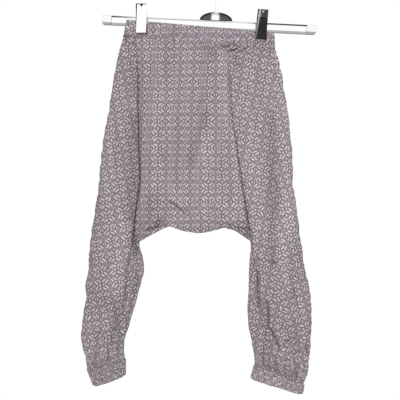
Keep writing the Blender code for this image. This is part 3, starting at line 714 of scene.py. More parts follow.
class Textures:
    """The shader node groups that the finishes share."""

    def __init__(self) -> None:
        """Build each group once."""
        self.stroke = self._stroke()
        self.flowers = self._flowers()
        self.weave = self._weave()
        self.crumple = self._crumple()
        self.brushed = self._brushed()

    def _stroke(self) -> Tree:
        """Distance to the edge of one rounded stroke, negative inside it."""
        graph, given, out = new_group("print_stroke", {
            "Place": VECTOR, "Across": 0.0, "Up": 0.0, "Angle": 0.0, "Half Length": 0.1, "Half Width": 0.05},
            ["Distance"])
        centre = graph.get("ShaderNodeCombineXYZ", {0: given["Across"], 1: given["Up"]})
        off = graph.vector("SUBTRACT", given["Place"], centre)
        x, y, _ = graph.parts(graph.get("ShaderNodeVectorRotate", {"Vector": off, "Angle": given["Angle"]},
                                        rotation_type="Z_AXIS", invert=True))
        past = graph.math("SUBTRACT", graph.math("ABSOLUTE", x), given["Half Length"])
        past = graph.math("MAXIMUM", past, 0.0)
        square = graph.math("ADD", graph.math("MULTIPLY", past, past), graph.math("MULTIPLY", y, y))
        graph.set(out[0], graph.math("SUBTRACT", graph.math("SQRT", square), given["Half Width"]))
        return graph.tree

    def _flowers(self) -> Tree:
        """The print: stars of eight strokes between plain eyes, on an oblong repeat."""
        half = (*HALF_REPEAT, 0.0)
        graph, given, out = new_group("star_flower_repeat", {
            "Place": VECTOR, "Edge": 0.04, "Shade Width": 0.13}, ["Light", "Shade", "Eye"])
        ragged = graph.add("ShaderNodeTexNoise", {"Vector": given["Place"], "Scale": 4.5, "Detail": 1.0})
        shift = graph.vector("SUBTRACT", ragged.outputs["Color"], (0.5, 0.5, 0.5))
        place = graph.vector("MULTIPLY_ADD", shift, (0.10, 0.10, 0.0), given["Place"])
        folded = graph.vector("ABSOLUTE", graph.vector("WRAP", place, half, tuple(-v for v in half)))
        from_star = graph.vector("ABSOLUTE", graph.vector("SUBTRACT", folded, half))
        nearest: Socket | None = None
        around: Socket | float = 0.0
        for stroke in STROKES:
            distance = graph.group(self.stroke, {
                "Place": from_star, "Across": stroke.across, "Up": stroke.up,
                "Angle": math.radians(stroke.angle), "Half Length": stroke.length / 2,
                "Half Width": stroke.width / 2})[0]
            nearest = distance if nearest is None else graph.math("MINIMUM", nearest, distance)
            beside = graph.fade(graph.math("DIVIDE", distance, given["Shade Width"]), 0.1, 1.3)
            around = graph.math("MULTIPLY_ADD", beside, 0.62, around)
        light = graph.fade(graph.math("DIVIDE", nearest, given["Edge"]), -1.0, 1.0)
        from_eye = graph.length(graph.vector("MULTIPLY", folded, (0.7, 1.0, 0.0)))
        eye = graph.fade(from_eye, 0.24, 0.33)
        shade = graph.math("MULTIPLY", graph.fade(from_eye, 0.30, 0.46), 0.5)
        shade = graph.math("MAXIMUM", shade, graph.math("MINIMUM", around, 1.0))
        for spot in DARK_POINTS:
            far = graph.length(graph.vector("SUBTRACT", from_star, (*spot, 0.0)))
            shade = graph.math("MAXIMUM", shade, graph.fade(far, 0.05, 0.21))
        shade = graph.math("MULTIPLY", shade, graph.math("SUBTRACT", 1.0, eye))
        worn = graph.span(graph.noise(given["Place"], 1.3), 0.35, 0.6, 0.72, 1.0)
        light = graph.math("MULTIPLY", light, worn)
        graph.set(out["Light"], light)
        graph.set(out["Shade"], graph.math("MULTIPLY", shade, graph.math("SUBTRACT", 1.0, light)))
        graph.set(out["Eye"], eye)
        return graph.tree

    def _weave(self) -> Tree:
        """A plain weave: threads over and under each other, with slubs."""
        graph, given, out = new_group("plain_weave", {"Place": VECTOR, "Threads": 45.0}, ["Height", "Shade"])
        scaled = graph.scaled(given["Place"], given["Threads"])
        warp, weft = (graph.math("SINE", graph.math("MULTIPLY", part, math.pi))
                      for part in list(graph.parts(scaled))[:2])
        height = graph.math("ABSOLUTE", graph.math("MULTIPLY", warp, weft))
        slub = graph.noise(graph.vector("MULTIPLY", scaled, (0.5, 0.03, 1.0)), 1.0, 1.0)
        graph.set(out["Height"], graph.math("ADD", height, graph.math("MULTIPLY", slub, 0.6)))
        graph.set(out["Shade"], slub)
        return graph.tree

    def _crumple(self) -> Tree:
        """Soft creases of washed cotton, longer down the cloth than across it."""
        graph, given, out = new_group("soft_crumple", {"Place": VECTOR, "Scale": 60.0}, ["Height", "Fade"])
        scaled = graph.scaled(graph.vector("MULTIPLY", given["Place"], (1.0, 1.0, 0.55)), given["Scale"])
        ridge = graph.math("ABSOLUTE", graph.math("SUBTRACT", graph.noise(scaled, 2.3, 1.0), 0.5))
        height = graph.math("SUBTRACT", graph.noise(scaled, 1.0), graph.math("MULTIPLY", ridge, 0.8))
        graph.set(out["Height"], height)
        graph.set(out["Fade"], graph.noise(given["Place"], 14.0))
        return graph.tree

    def _brushed(self) -> Tree:
        """Fine lines along a metal's length, and cloudy handling marks."""
        graph, given, out = new_group("drawn_metal", {
            "Place": VECTOR, "Along": (0.02, 1.0, 1.0), "Scale": 900.0}, ["Lines", "Clouds"])
        stretched = graph.vector("MULTIPLY", given["Place"], given["Along"])
        graph.set(out["Lines"], graph.noise(graph.scaled(stretched, given["Scale"]), 1.0))
        graph.set(out["Clouds"], graph.noise(given["Place"], 55.0, 3.0))
        return graph.tree


# ---- finishes -------------------------------------------------------------------------

def new_material(name: str, constants: dict[str, object]) -> tuple[Material, Graph, Node]:
    """A material with its graph and its shader node, on which the constants are set."""
    material = bpy.data.materials.new(name)
    material.use_nodes = True
    shader = material.node_tree.nodes["Principled BSDF"]
    for socket, value in constants.items():
        shader.inputs[socket].default_value = value
    return material, Graph(material.node_tree), shader


@dataclass(frozen=True)
class PrintedCotton:
    """Light woven cotton with the small print, seen on its right side."""

    name: str
    slot: str
    ground: Triple = (152.0, 140.0, 147.0)
    shade: Triple = (112.0, 100.0, 108.0)
    light: Triple = (226.0, 215.0, 221.0)
    eye: Triple = (166.0, 154.0, 161.0)
    # lift scales the whole colour; the casing's and the cuffs' copies have lower ones, a painted shade
    lift: float = 1.0
    wear: Pair = (0.93, 1.06)       # how dark and how bright its clouds are
    threads: Pair = (0.95, 1.05)    # and its slubs
    # how much the crease attribute's painted shade darkens the colour, and the darkest it gets
    painted_shade_strength: float = 0.55
    darkest: float = 0.2
    crumple_depth: float = 0.0011
    weave_depth: float = 0.00006

    def make(self, textures: Textures) -> Material:
        """The material.

        Args:
            textures: The shared groups.

        Returns:
            A material that reads the piece's own map and its crease attribute, whose painted shade darkens
            its colour.
        """
        material, graph, shader = new_material(self.name, {
            "Roughness": 0.92, "Specular IOR Level": 0.25, "Sheen Weight": 0.12, "Sheen Roughness": 0.5})
        printed = graph.get("ShaderNodeUVMap", uv_map="print")
        flowers = graph.group(textures.flowers, {"Place": printed})
        weave = graph.group(textures.weave, {"Place": printed, "Threads": 24.0})
        crumple = graph.group(textures.crumple, {"Place": graph.solid(), "Scale": 62.0})
        colour = graph.mix(flowers["Eye"], tint(*self.ground), tint(*self.eye))
        colour = graph.mix(flowers["Shade"], colour, tint(*self.shade))
        colour = graph.mix(flowers["Light"], colour, tint(*self.light))
        # The wear clouds, scaled by lift, which paints the casing's and the cuffs' copies darker as painted
        # shade
        worn = graph.span(crumple["Fade"], 0.25, 0.75, *(tone * self.lift for tone in self.wear))
        thread = graph.span(weave["Shade"], 0.0, 1.0, *self.threads)
        # The crease attribute is painted shade, below 0 painted light, scaled into the base colour
        crease = graph.add("ShaderNodeAttribute", attribute_name="crease").outputs["Fac"]
        sunk = graph.math("MULTIPLY_ADD", crease, -self.painted_shade_strength, 1.0)
        sunk = graph.math("MAXIMUM", sunk, self.darkest)
        scale = graph.math("MULTIPLY", graph.math("MULTIPLY", worn, thread), sunk)
        graph.set(shader.inputs["Base Color"], graph.scaled(colour, scale))
        woven = graph.bump(weave["Height"], self.weave_depth, 0.5)
        graph.set(shader.inputs["Normal"], graph.bump(crumple["Height"], self.crumple_depth, 1.0, woven))
        return material


@dataclass(frozen=True)
class Thread:
    """Sewing thread in the print's middle tone."""

    name: str = "sewing_thread"
    slot: str = "printed_cotton"
    colour: Triple = (150.0, 138.0, 145.0)

    def make(self) -> Material:
        """The material, with the twist of the thread in its bump."""
        material, graph, shader = new_material(self.name, {"Roughness": 0.7})
        twist = graph.noise(graph.vector("MULTIPLY", graph.solid(), (1.0, 1.0, 3.0)), 2400.0, 1.0)
        # The colour is darker where the twist's bump lies low: painted shade
        darker = tuple(0.86 * c for c in self.colour)
        graph.set(shader.inputs["Base Color"], graph.mix(twist, tint(*darker), tint(*self.colour)))
        graph.set(shader.inputs["Normal"], graph.bump(twist, 0.0001, 0.6))
        return material


@dataclass(frozen=True)
class Metal:
    """Plated or drawn metal, with fine lines and handling marks."""

    name: str
    slot: str
    colour: Triple = (240.0, 241.0, 243.0)
    roughness: float = 0.08
    marks: float = 0.06
    along: Triple = (0.02, 1.0, 1.0)
    line_depth: float = 0.000004
    # glow makes the piece give off its colour as light though it is no lamp: painted light
    glow: float = 0.0

    def shaded(self, graph: Graph, solid: Socket, colour: Socket) -> Socket:
        """The colour, with the painted light or shade of a subclass; plain metal has none."""
        return colour

    def make(self, textures: Textures) -> Material:
        """The material, on Object coordinates."""
        material, graph, shader = new_material(self.name, {
            "Metallic": 1.0, "Emission Color": tint(*self.colour), "Emission Strength": self.glow})
        solid = graph.solid()
        drawn = graph.group(textures.brushed, {"Place": solid, "Along": self.along})
        darkening = tuple((1.0 - self.marks) * c for c in self.colour)
        colour = graph.mix(drawn["Clouds"], tint(*self.colour), tint(*darkening))
        graph.set(shader.inputs["Base Color"], self.shaded(graph, solid, colour))
        rough = graph.math("MULTIPLY_ADD", drawn["Clouds"], self.marks, self.roughness - self.marks / 2)
        graph.set(shader.inputs["Roughness"], rough)
        graph.set(shader.inputs["Normal"], graph.bump(drawn["Lines"], self.line_depth, 0.4))
        return material


@dataclass(frozen=True)
class TiltedMetal(Metal):
    """Metal of a piece that lies level when a turn and a shift along X are taken out."""

    turn: float = math.radians(2.7)
    middle: float = 0.0

    def level(self, graph: Graph, solid: Socket) -> tuple[Socket, Socket]:
        """Across from the piece's middle, and height, along the piece's own lines."""
        x, _, z = graph.parts(graph.get("ShaderNodeVectorRotate", {"Vector": solid, "Angle": -self.turn},
                                        rotation_type="Y_AXIS"))
        return graph.math("SUBTRACT", x, self.middle), z


@dataclass(frozen=True)
class SeatMetal(TiltedMetal):
    """Metal of the dome, dark and brighter toward its middle: a painted reflection."""

    bright: Pair = (0.0045, 0.0085)
    painted_bright_tone: Triple = (236.0, 238.0, 240.0)

    def shaded(self, graph: Graph, solid: Socket, colour: Socket) -> Socket:
        """The colour, which fades to white beside the strap, as a painted reflection."""
        across, _ = self.level(graph, solid)
        beside = graph.fade(graph.math("ABSOLUTE", across), *self.bright)
        return graph.mix(beside, colour, tint(*self.painted_bright_tone))


@dataclass(frozen=True)
class JawMetal(TiltedMetal):
    """Metal of a clip, with dark rims down its two sides, a painted reflection of its rounded edges.

    rims are how far in they start on the left and on the right, in metres from the middle.
    """

    rims: Pair = (0.0079, 0.0084)
    rim_edge: float = 0.0001
    painted_rim_tone: Triple = (70.0, 70.0, 72.0)

    def shaded(self, graph: Graph, solid: Socket, colour: Socket) -> Socket:
        """The colour with the two painted rims."""
        across, _ = self.level(graph, solid)
        left = graph.fade(across, -self.rims[0] - self.rim_edge, -self.rims[0] + self.rim_edge)
        right = graph.fade(across, self.rims[1] + self.rim_edge, self.rims[1] - self.rim_edge)
        return graph.mix(graph.math("MAXIMUM", left, right), colour, tint(*self.painted_rim_tone))


@dataclass(frozen=True)
class ChannelMetal(TiltedMetal):
    """Metal of the tilted bar: a lower lip painted grey, a painted reflection, and a painted shadow line
    along its upper lip.

    Heights are below the hook's crown and acrosses to the right of it, along the bar.
    """

    top: float = -0.0873
    foot: float = -0.1028
    lip: float = 0.0046
    line: float = 0.0021
    lip_edge: float = 0.0006
    line_edge: float = 0.0004
    left_end: Pair = (-0.168, -0.128)
    right_end: Pair = (0.085, 0.030)
    line_start: Pair = (-0.06, 0.03)
    painted_lip_tone: float = 166.0
    painted_line_tones: Pair = (222.0, 45.0)

    def shaded(self, graph: Graph, solid: Socket, colour: Socket) -> Socket:
        """The colour with the painted lip and the painted shadow line, which is darkest at the bar's two
        ends.
        """
        across, height = self.level(graph, solid)
        lip, line = self.foot + self.lip, self.top - self.line
        low = graph.fade(height, lip - self.lip_edge, lip + self.lip_edge)
        colour = graph.mix(low, colour, tint(self.painted_lip_tone, self.painted_lip_tone, self.painted_lip_tone))
        left, right = graph.fade(across, *self.left_end), graph.fade(across, *self.right_end)
        tone = graph.mix(graph.math("MAXIMUM", left, right), *(tint(v, v, v) for v in self.painted_line_tones))
        upper = graph.fade(height, line + self.line_edge, line - self.line_edge)
        there = graph.math("MAXIMUM", right, graph.fade(across, *self.line_start))
        return graph.mix(graph.math("MULTIPLY", upper, there), colour, tone)


# ---- meshes ---------------------------------------------------------------------------

# ---- meshes ---------------------------------------------------------------------------

def new_piece(name: str, data: bpy.types.ID) -> Piece:
    """An object for a mesh, curve, light or camera, at the origin."""
    piece = bpy.data.objects.new(name, data)
    bpy.context.scene.collection.objects.link(piece)
    return piece


@contextmanager
def editing(mesh: Mesh, source: Mesh | None = None) -> Iterator[bmesh.types.BMesh]:
    """Edit a mesh's own form, or another mesh's, with bmesh and keep the result in it."""
    bm = bmesh.new()
    bm.from_mesh(source or mesh)
    yield bm
    bm.to_mesh(mesh)
    bm.free()


def cloth_piece(name: str, points: Array, faces: list, corner_map: list, crease: Array) -> Piece:
    """A smooth piece of four-sided faces with a print map and a crease attribute of painted shade.

    Args:
        name: The piece's name.
        points: Points in metres, one a row.
        faces: Four point numbers for each face.
        corner_map: Print coordinates of each face's four corners.
        crease: Painted shade of each point, below 0 painted light.

    Returns:
        The piece.
    """
    mesh = bpy.data.meshes.new(name)
    mesh.from_pydata(points.tolist(), [], np.array(faces).tolist())
    layer = mesh.uv_layers.new(name="print")
    layer.data.foreach_set("uv", np.array(corner_map).reshape(-1).astype(np.float32))
    mesh.shade_smooth()
    attribute = mesh.attributes.new("crease", "FLOAT", "POINT")
    attribute.data.foreach_set("value", crease.astype(np.float32))
    return new_piece(name, mesh)


def evaluated_mesh(piece: Piece) -> Mesh:
    """A plain mesh of a piece with its modifiers applied."""
    bpy.context.view_layer.update()
    graph = bpy.context.evaluated_depsgraph_get()
    return bpy.data.meshes.new_from_object(piece.evaluated_get(graph), preserve_all_data_layers=True,
                                           depsgraph=graph)


def freeze(piece: Piece) -> None:
    """Replace a piece's mesh with the evaluated one and drop its modifiers."""
    mesh = evaluated_mesh(piece)
    piece.modifiers.clear()
    piece.data = mesh


@dataclass(frozen=True)
class Columns:
    """Grid columns of each part of a leg's section, and of the middle."""

    main: int = 42
    arc: int = 5
    lap: int = 3
    strip: int = 10
    centre: int = 80
    body_rows: int = 156
    leg_rows: int = 98

    @property
    def leg(self) -> int:
        """Columns from the side seam to the inner line."""
        return self.main + 2 * self.arc + self.lap + self.strip

    @property
    def mid_lap(self) -> int:
        """The column hidden in the middle of the lap, where the print's lie changes."""
        return self.main + self.arc + 1

    @property
    def all(self) -> int:
        """Columns from side seam to side seam."""
        return 2 * self.leg + self.centre


GRID = Columns()


@dataclass
class Panel:
    """The front or the back: one cut of cloth with both legs and a fold on each side."""

    side: Side
    lap_share: float
    fold_shift: float
    tuck: float = 0.13          # levels that run on under the casing and into the cuffs
    tuck_in: float = 0.7        # how far the tucked edge lies under
    gathers: float = 9.0
    gather_depth: float = 1.5
    gather_levels: float = 2.4
    fold_trough: float = 1.6
    fold_width: float = 2.2
    # A swell's depth goes partly into the shape and, as painted shade, into the colour; from sink_shade on,
    # the fields set how much painted shade each form lays on the cloth
    sink_share: float = 0.5     # how much of a swell's depth is in the shape
    sink_shade: float = 0.105   # and how much a millimetre of it darkens the cloth
    crumple_shade: float = 0.07
    lip_shade: float = 0.25
    lip_width: float = 3.0
    wave_shade: float = 0.18
    tuck_shade: float = 0.95
    leg_shade: float = 0.06
    waist_shade: float = 0.05
    ankle_shade: float = 0.3
    full_crease: float = 4.0    # the depth that darkens a crease in full

    @property
    def name(self) -> str:
        """The node's name."""
        return self.side.name.lower()

    def hollow_depth(self, across: Array, drop: Array) -> Array:
        """How far the soft hollows draw the wall in."""
        return self.soft_depths(HOLLOWS[self.side], across, drop).sum(axis=0)

    @staticmethod
    def soft_depths(hollows: Sequence[Hollow], across: Array, drop: Array) -> Array:
        """Depth of each of several hollows.

        Args:
            hollows: The hollows.
            across: Points' across.
            drop: Points' drop.

        Returns:
            A depth in millimetres for each hollow and point.
        """
        depths = []
        for h in hollows:
            run = np.array([h.to_across - h.across, h.to_drop - h.drop])
            x, y = across - h.across, drop - h.drop
            along = np.clip((x * run[0] + y * run[1]) / run.dot(run), 0.0, 1.0)
            off = np.hypot(x - run[0] * along, y - run[1] * along) / h.width
            depths.append(h.depth * np.exp(-off * off))
        return np.array(depths)

    @staticmethod
    def crease_depth(crease: Crease, across: Array, drop: Array) -> tuple[Array, Array]:
        """One crease's depth, and how deep in its trough a point lies or, below 0, how high on a lip.

        Args:
            crease: The crease.
            across: Points' across.
            drop: Points' drop.

        Returns:
            The depth in millimetres, and a share.
        """
        run = np.array([crease.to_across - crease.across, crease.to_drop - crease.drop])
        length = math.hypot(*run)
        x, y = across - crease.across, drop - crease.drop
        along = (x * run[0] + y * run[1]) / length ** 2
        inside = np.clip(along, 0.0, 1.0)
        off = (x * run[1] - y * run[0]) / length - crease.bow * 4.0 * inside * (1.0 - inside)
        past = (along - inside) * length
        taper = (4.0 * inside * (1.0 - inside)) ** 0.4 * np.exp(-(past / crease.width) ** 2)
        trough = np.exp(-(off / crease.width) ** 2) * taper
        lips = np.exp(-((np.abs(off) / crease.width - 2.1) / 0.9) ** 2) * taper
        return crease.depth * (trough - 0.28 * lips), trough - 0.16 * lips

    def fold_sizes(self, row: Level, depth: Depth) -> tuple[float, ...]:
        """Turn, radius and straight run of a fold, and stand-off over, under and inside it."""
        lap = max(row.lap, 0.0) * self.lap_share
        turned = max(math.pi * float(ease(lap / CUT.lap_start)), CUT.turn_min)
        radius = math.pi * CUT.fold_radius / turned
        run = max(lap - CUT.lap_start, CUT.lap_min)
        drop = self.line_drop(row, row.fold)
        over = depth.edge - float(self.hollow_depth(np.array(row.fold), drop))
        under = over - 2 * radius * (1 - math.cos(turned)) - run * math.sin(turned)
        inner = max(min(depth.inner, under + CUT.strip_rise), 0.0)
        return turned, radius, run, over, under, inner

    @staticmethod
    def line_drop(row: Level, across: Array | float) -> Array:
        """Drop of a level's line, straight from the side seam to the inner line."""
        reach = (across - row.outer) / (row.inner - row.outer)
        return row.outer_drop + (row.inner_drop - row.outer_drop) * np.minimum(reach, 1.0)

    def leg_run(self, leg: Leg, level: float) -> Run:
        """A leg's row from its side seam to its inner line.

        Args:
            leg: Which leg.
            level: The level.

        Returns:
            The row's points.
        """
        row, depth = at_level(LEVELS[leg], level), at_level(DEPTHS, level)
        toward = 1.0 if row.inner > row.outer else -1.0
        lap = max(row.lap, 0.0) * self.lap_share
        turned, radius, run, over, under, inner = self.fold_sizes(row, depth)
        edge = row.fold + toward * self.fold_shift * min(level / CUT.crotch, 1.0)
        edge = toward * min(toward * edge, toward * row.inner - CUT.strip_min)
        start = edge - toward * radius * math.sin(min(turned, math.pi / 2))
        rough = 0.0
        for seed, size, length in ((Seed.SIDE_SEAM, 0.9, 11.0), (Seed.SIDE_SEAM_FINE, 0.6, 4.5)):
            rough += size * Wander(seed + int(leg is Leg.LEFT)).at(row.outer_drop / length)
        for nick in NICKS[leg]:
            rough -= nick.depth * math.exp(-((row.outer_drop - nick.drop) / nick.reach) ** 2)

        share = np.linspace(0.0, 1.0, GRID.main + 1) ** 1.25
        across = row.outer + (start - row.outer) * share
        drop = self.line_drop(row, across)
        at_edge = ease((share - CUT.edge_from) / (1 - CUT.edge_from))
        stand = (depth.crown + (depth.edge - depth.crown) * at_edge) * crown_shape(share / CUT.crown_at)
        hollow = self.hollow_depth(across, drop)
        hollow += (depth.edge - over - hollow) * ease((share - CUT.level_from) / (1 - CUT.level_from))
        stand -= hollow * ease(share / CUT.hollow_clear)
        waves = self.gather(leg, level, share)
        stand += waves
        across = across - toward * rough * (1 - share) ** 3 * float(ease((level + 0.2) / 0.8))
        width = abs(start - row.outer)
        sharp = float(ease(lap / CUT.lap_start)) * self.fold_strength(leg, float(drop[-1]))
        # Painted shade beside the fold's edge and in the gathers' troughs
        lip = self.lip_shade * sharp * np.exp(-((across[-1] - across) / self.lip_width) ** 2)
        lip = lip + self.wave_shade * np.maximum(-waves, 0.0)
        runs = [Run(across, drop, np.maximum(stand, 0.0), crown_shape(share * width / CUT.side_reach), lip)]

        arc = np.arange(1, GRID.arc + 1) / GRID.arc
        sine, drop_in = radius * math.sin(turned), radius * (1 - math.cos(turned))
        back = np.arange(1, GRID.lap + 1) / GRID.lap
        ahead = [radius * np.sin(turned * arc),
                 sine + run * back * math.cos(turned),
                 2 * sine + run * math.cos(turned) - radius * np.sin(turned * (1 - arc))]
        off = [radius * (1 - np.cos(turned * arc)),
               drop_in + run * back * math.sin(turned),
               2 * drop_in + run * math.sin(turned) - radius * (1 - np.cos(turned * (1 - arc)))]
        ahead, off = np.concatenate(ahead), np.concatenate(off)
        across = start + toward * ahead
        wave = float(self.gather(leg, level, np.array([1.0]))[0])
        # Painted shade on the cloth in under the fold
        fold_shade = np.full(len(across), sharp)
        fold_shade[:GRID.arc] = sharp * (0.3 + 0.7 * arc ** 2)
        runs.append(Run(across, self.line_drop(row, across), np.maximum(over + wave - off, 0.0),
                        np.ones(len(across)), fold_shade))

        share = np.arange(1, GRID.strip + 1) / GRID.strip
        first = start + toward * (2 * sine + run * math.cos(turned))
        parted = float(ease(level - CUT.crotch + 1))
        closing = parted * (1 - crown_shape(1 - share)) + (1 - parted) * share
        stand = under + wave + (inner - under - wave) * closing
        last = row.inner + toward * parted * 0.6 * float(Wander(Seed.INSEAM).at(row.inner_drop / 9.0))
        across = first + (last - first) * share
        beside = crown_shape((1 - share) * abs(last - first) / CUT.inseam_reach)
        above = crown_shape((CUT.crotch - level) / CUT.crotch_reach)
        shadow = toward * (across - edge)
        # The trough beside the fold, in the shape and as painted shade
        trough = sharp * np.exp(-(np.maximum(shadow, 0.0) / self.fold_width) ** 2)
        stand = stand - self.fold_trough * trough * np.minimum(1.0, (1 - share) * 3)
        runs.append(Run(across, self.line_drop(row, across), np.maximum(stand, 0.0),
                        np.maximum(beside, above), trough))
        return Run.join(runs)

    @staticmethod
    def fold_strength(leg: Leg, drop: float) -> float:
        """How strongly a drape fold shows at a drop, in its trough and its painted shade, from 0 to 1."""
        grip, changes = FOLD_GRIP[leg]
        for change, start, reach in changes:
            grip += change * float(ease((drop - start) / reach))
        return grip

    def gather(self, leg: Leg, level: float, share: Array) -> Array:
        """Uneven gathers above the cuff."""
        near = float(ease((level - CUT.last) / self.gather_levels + 1.0))
        layer = 2 * int(self.side > 0) + int(leg is Leg.LEFT)
        phase = self.gathers * share + 0.9 * Wander(Seed.ANKLE + layer).at(share * 4.0, level / 1.8)
        size = 0.75 + 0.5 * Wander(Seed.ANKLE_SIZE + layer).at(share * 6.0, level / 1.2)
        return self.gather_depth * near * size * ease(share / 0.12) * np.sin(2 * math.pi * phase)

    def centre_run(self, level: float) -> Run:
        """The row between the lines to the two crotch corners, without its ends."""
        rows = [at_level(LEVELS[leg], level) for leg in (Leg.RIGHT, Leg.LEFT)]
        depth = at_level(DEPTHS, level)
        down = level / CUT.crotch
        share = np.arange(1, GRID.centre) / GRID.centre
        rise = np.interp(share, [r.share for r in CROTCH_SEAM], [r.rise for r in CROTCH_SEAM])
        rise = np.convolve(np.pad(rise, 2, mode="edge"), np.array([1, 2, 3, 2, 1]) / 9, mode="valid")
        lumps = 1.0 * Wander(Seed.CROTCH).at(share * 14.0) + 0.6 * Wander(Seed.CROTCH_FINE).at(share * 31.0)
        rise += lumps * np.sin(math.pi * share)
        across = rows[0].inner + (rows[1].inner - rows[0].inner) * share
        drop = rows[0].inner_drop + (rows[1].inner_drop - rows[0].inner_drop) * share
        drop = drop - rise * max(down, 0.0) ** 3
        ends = [self.fold_sizes(row, depth)[5] for row in rows]
        side = ends[0] + (ends[1] - ends[0]) * share
        full = np.sin(math.pi * share) ** 0.7
        stand = side + (np.maximum(depth.centre, side) - side) * full
        stand = stand - float(ease((1 - down) / CUT.crotch_clear)) * self.hollow_depth(across, drop)
        closing = np.full(len(share), float(crown_shape((CUT.crotch - level) / CUT.crotch_reach)))
        return Run(across, drop, np.maximum(stand, 0.0), closing, np.zeros(len(across)))

    def crumple(self, across: Array, drop: Array) -> Array:
        """Small soft waves of hanging cotton, longer down the cloth."""
        seed = Seed.CRUMPLE + 3 * int(self.side > 0)
        broad = Wander(seed).at(across / 15.0, drop / 30.0)
        small = Wander(seed + 1).at(across / 6.5 + drop / 60.0, drop / 12.0)
        ridge = np.abs(Wander(seed + 2).at(across / 20.0 - drop / 70.0, drop / 34.0))
        return 0.55 * broad + 0.22 * small - 0.75 * np.exp(-(ridge / 0.16) ** 2)

    def row(self, level: float) -> tuple[Run, Array, Array]:
        """A whole row of the panel with all its small forms.

        Args:
            level: The row's level.

        Returns:
            The row's points, their stand-off, and the painted shade of each, below 0 painted light.
        """
        legs = self.leg_run(Leg.RIGHT, level), self.leg_run(Leg.LEFT, level).reversed()
        run = Run.join([legs[0], self.centre_run(level), legs[1]] if level <= CUT.crotch else legs)
        calm = run.closing * np.minimum(1.0, 0.25 + 0.75 * ease(level / 0.8))
        crumple = self.crumple(run.across, run.drop)
        stand = run.stand + calm * crumple
        for gather in GATHERS[self.side]:
            stand += calm * self.gather_folds(gather, run.across, run.drop)
        swells = self.soft_depths(SWELLS[self.side], run.across, run.drop)
        sunk = np.maximum(swells.max(axis=0), 0.0) + np.minimum(swells.min(axis=0), 0.0)
        stand -= self.sink_share * sunk * calm
        # Painted shade in the colour: under and beside the folds, in the swells and the crumples' hollows, on
        # the legs, at the waist and along the cuffs' seams; swells that stand out and high crumples get
        # painted light
        shade = self.tuck_shade * run.tuck + self.sink_shade * sunk - self.crumple_shade * crumple
        shade += (self.leg_shade * float(ease((level - CUT.crotch) / 3.0))
                  + self.waist_shade * float(ease(1.2 - level)))
        shade += self.ankle_shade * float(ease((level - CUT.last + 0.22) / 0.22)) * (
            0.6 + Wander(Seed.ANKLE_SHADE).at(run.across / 3.0, level * 9.0))
        held = run.closing * float(ease(level / 0.1))
        # Each crease gets painted shade in its trough and painted light on its lips
        for crease in CREASES[self.side]:
            depth, trough = self.crease_depth(crease, run.across, run.drop)
            stand -= depth * held
            shade += trough * crease.depth / self.full_crease
        return run, stand, shade

    def points(self) -> tuple[Array, Array, Array, Array]:
        """The panel's grid.

        Returns:
            Points in millimetres as across, Y and drop, with NaN between the legs, the
            level of each row, the painted shade of each point, and its run along the row.
        """
        body = np.linspace(-self.tuck, CUT.crotch, GRID.body_rows + 1)
        legs = np.linspace(CUT.crotch, CUT.last + self.tuck, GRID.leg_rows + 1)[1:]
        levels = np.concatenate([body, legs])
        grid = np.full((len(levels), GRID.all + 1, 3), np.nan)
        painted_shade = np.zeros(grid.shape[:2])
        for index, level in enumerate(levels):
            run, stand, shade = self.row(level)
            columns = np.arange(GRID.all + 1)
            if level > CUT.crotch:
                columns = np.concatenate([columns[:GRID.leg + 1], columns[-GRID.leg - 1:]])
            painted_shade[index, columns] = np.clip(shade, -0.4, 1.45)
            bulge = CUT.waist_bulge * CUT.pinch(run.across) if self.side is Side.FRONT else 0.0
            held = CUT.casing_half - CUT.seam_half + bulge
            stand = stand + (held - stand) * float(ease(1.0 - level / CUT.waist_levels)) * 0.97
            past = ease(-level / self.tuck) + ease((level - CUT.last) / self.tuck) * 2.2
            tucked = self.tuck_in * float(past)
            half = CUT.edge_half + (CUT.seam_half + CUT.skin - CUT.edge_half) * run.closing
            off = np.maximum(half + np.maximum(stand, 0.0) - tucked * run.closing, CUT.edge_half)
            grid[index, columns, 0] = run.across
            grid[index, columns, 1] = CUT.middle_y + self.side * off
            grid[index, columns, 2] = run.drop
        return grid, levels, painted_shade, self.row_lengths(grid)

    @staticmethod
    def gather_folds(gather: Gather, across: Array, drop: Array) -> Array:
        """Small upright folds in a gathered band, deepest where the most cloth is lost."""
        off = across - gather.line(drop)
        folds = np.cos(2 * math.pi * off / 6.0 + 2.0 * Wander(Seed.GATHER_FOLD).at(drop / 30.0, off / 30.0))
        fade = np.exp(-(off / (0.6 * gather.width)) ** 2) * ease((gather.to_drop + 60.0 - drop) / 120.0)
        return 0.07 * gather.lost(drop) * fade * (folds - 0.6)

    @staticmethod
    def row_lengths(grid: Array) -> Array:
        """Length along each row from its first column, jumping the space between the legs."""
        step = np.diff(grid[:, :, :2], axis=1)
        length = np.nan_to_num(np.hypot(step[..., 0], step[..., 1]))
        return np.concatenate([np.zeros((len(grid), 1)), np.cumsum(length, axis=1)], axis=1)

    @staticmethod
    def run_from(column: int, grid: Array, length: Array) -> Array:
        """Length along each row, counted as an across from one column."""
        return length - length[:, column:column + 1] + grid[:, column:column + 1, 0]

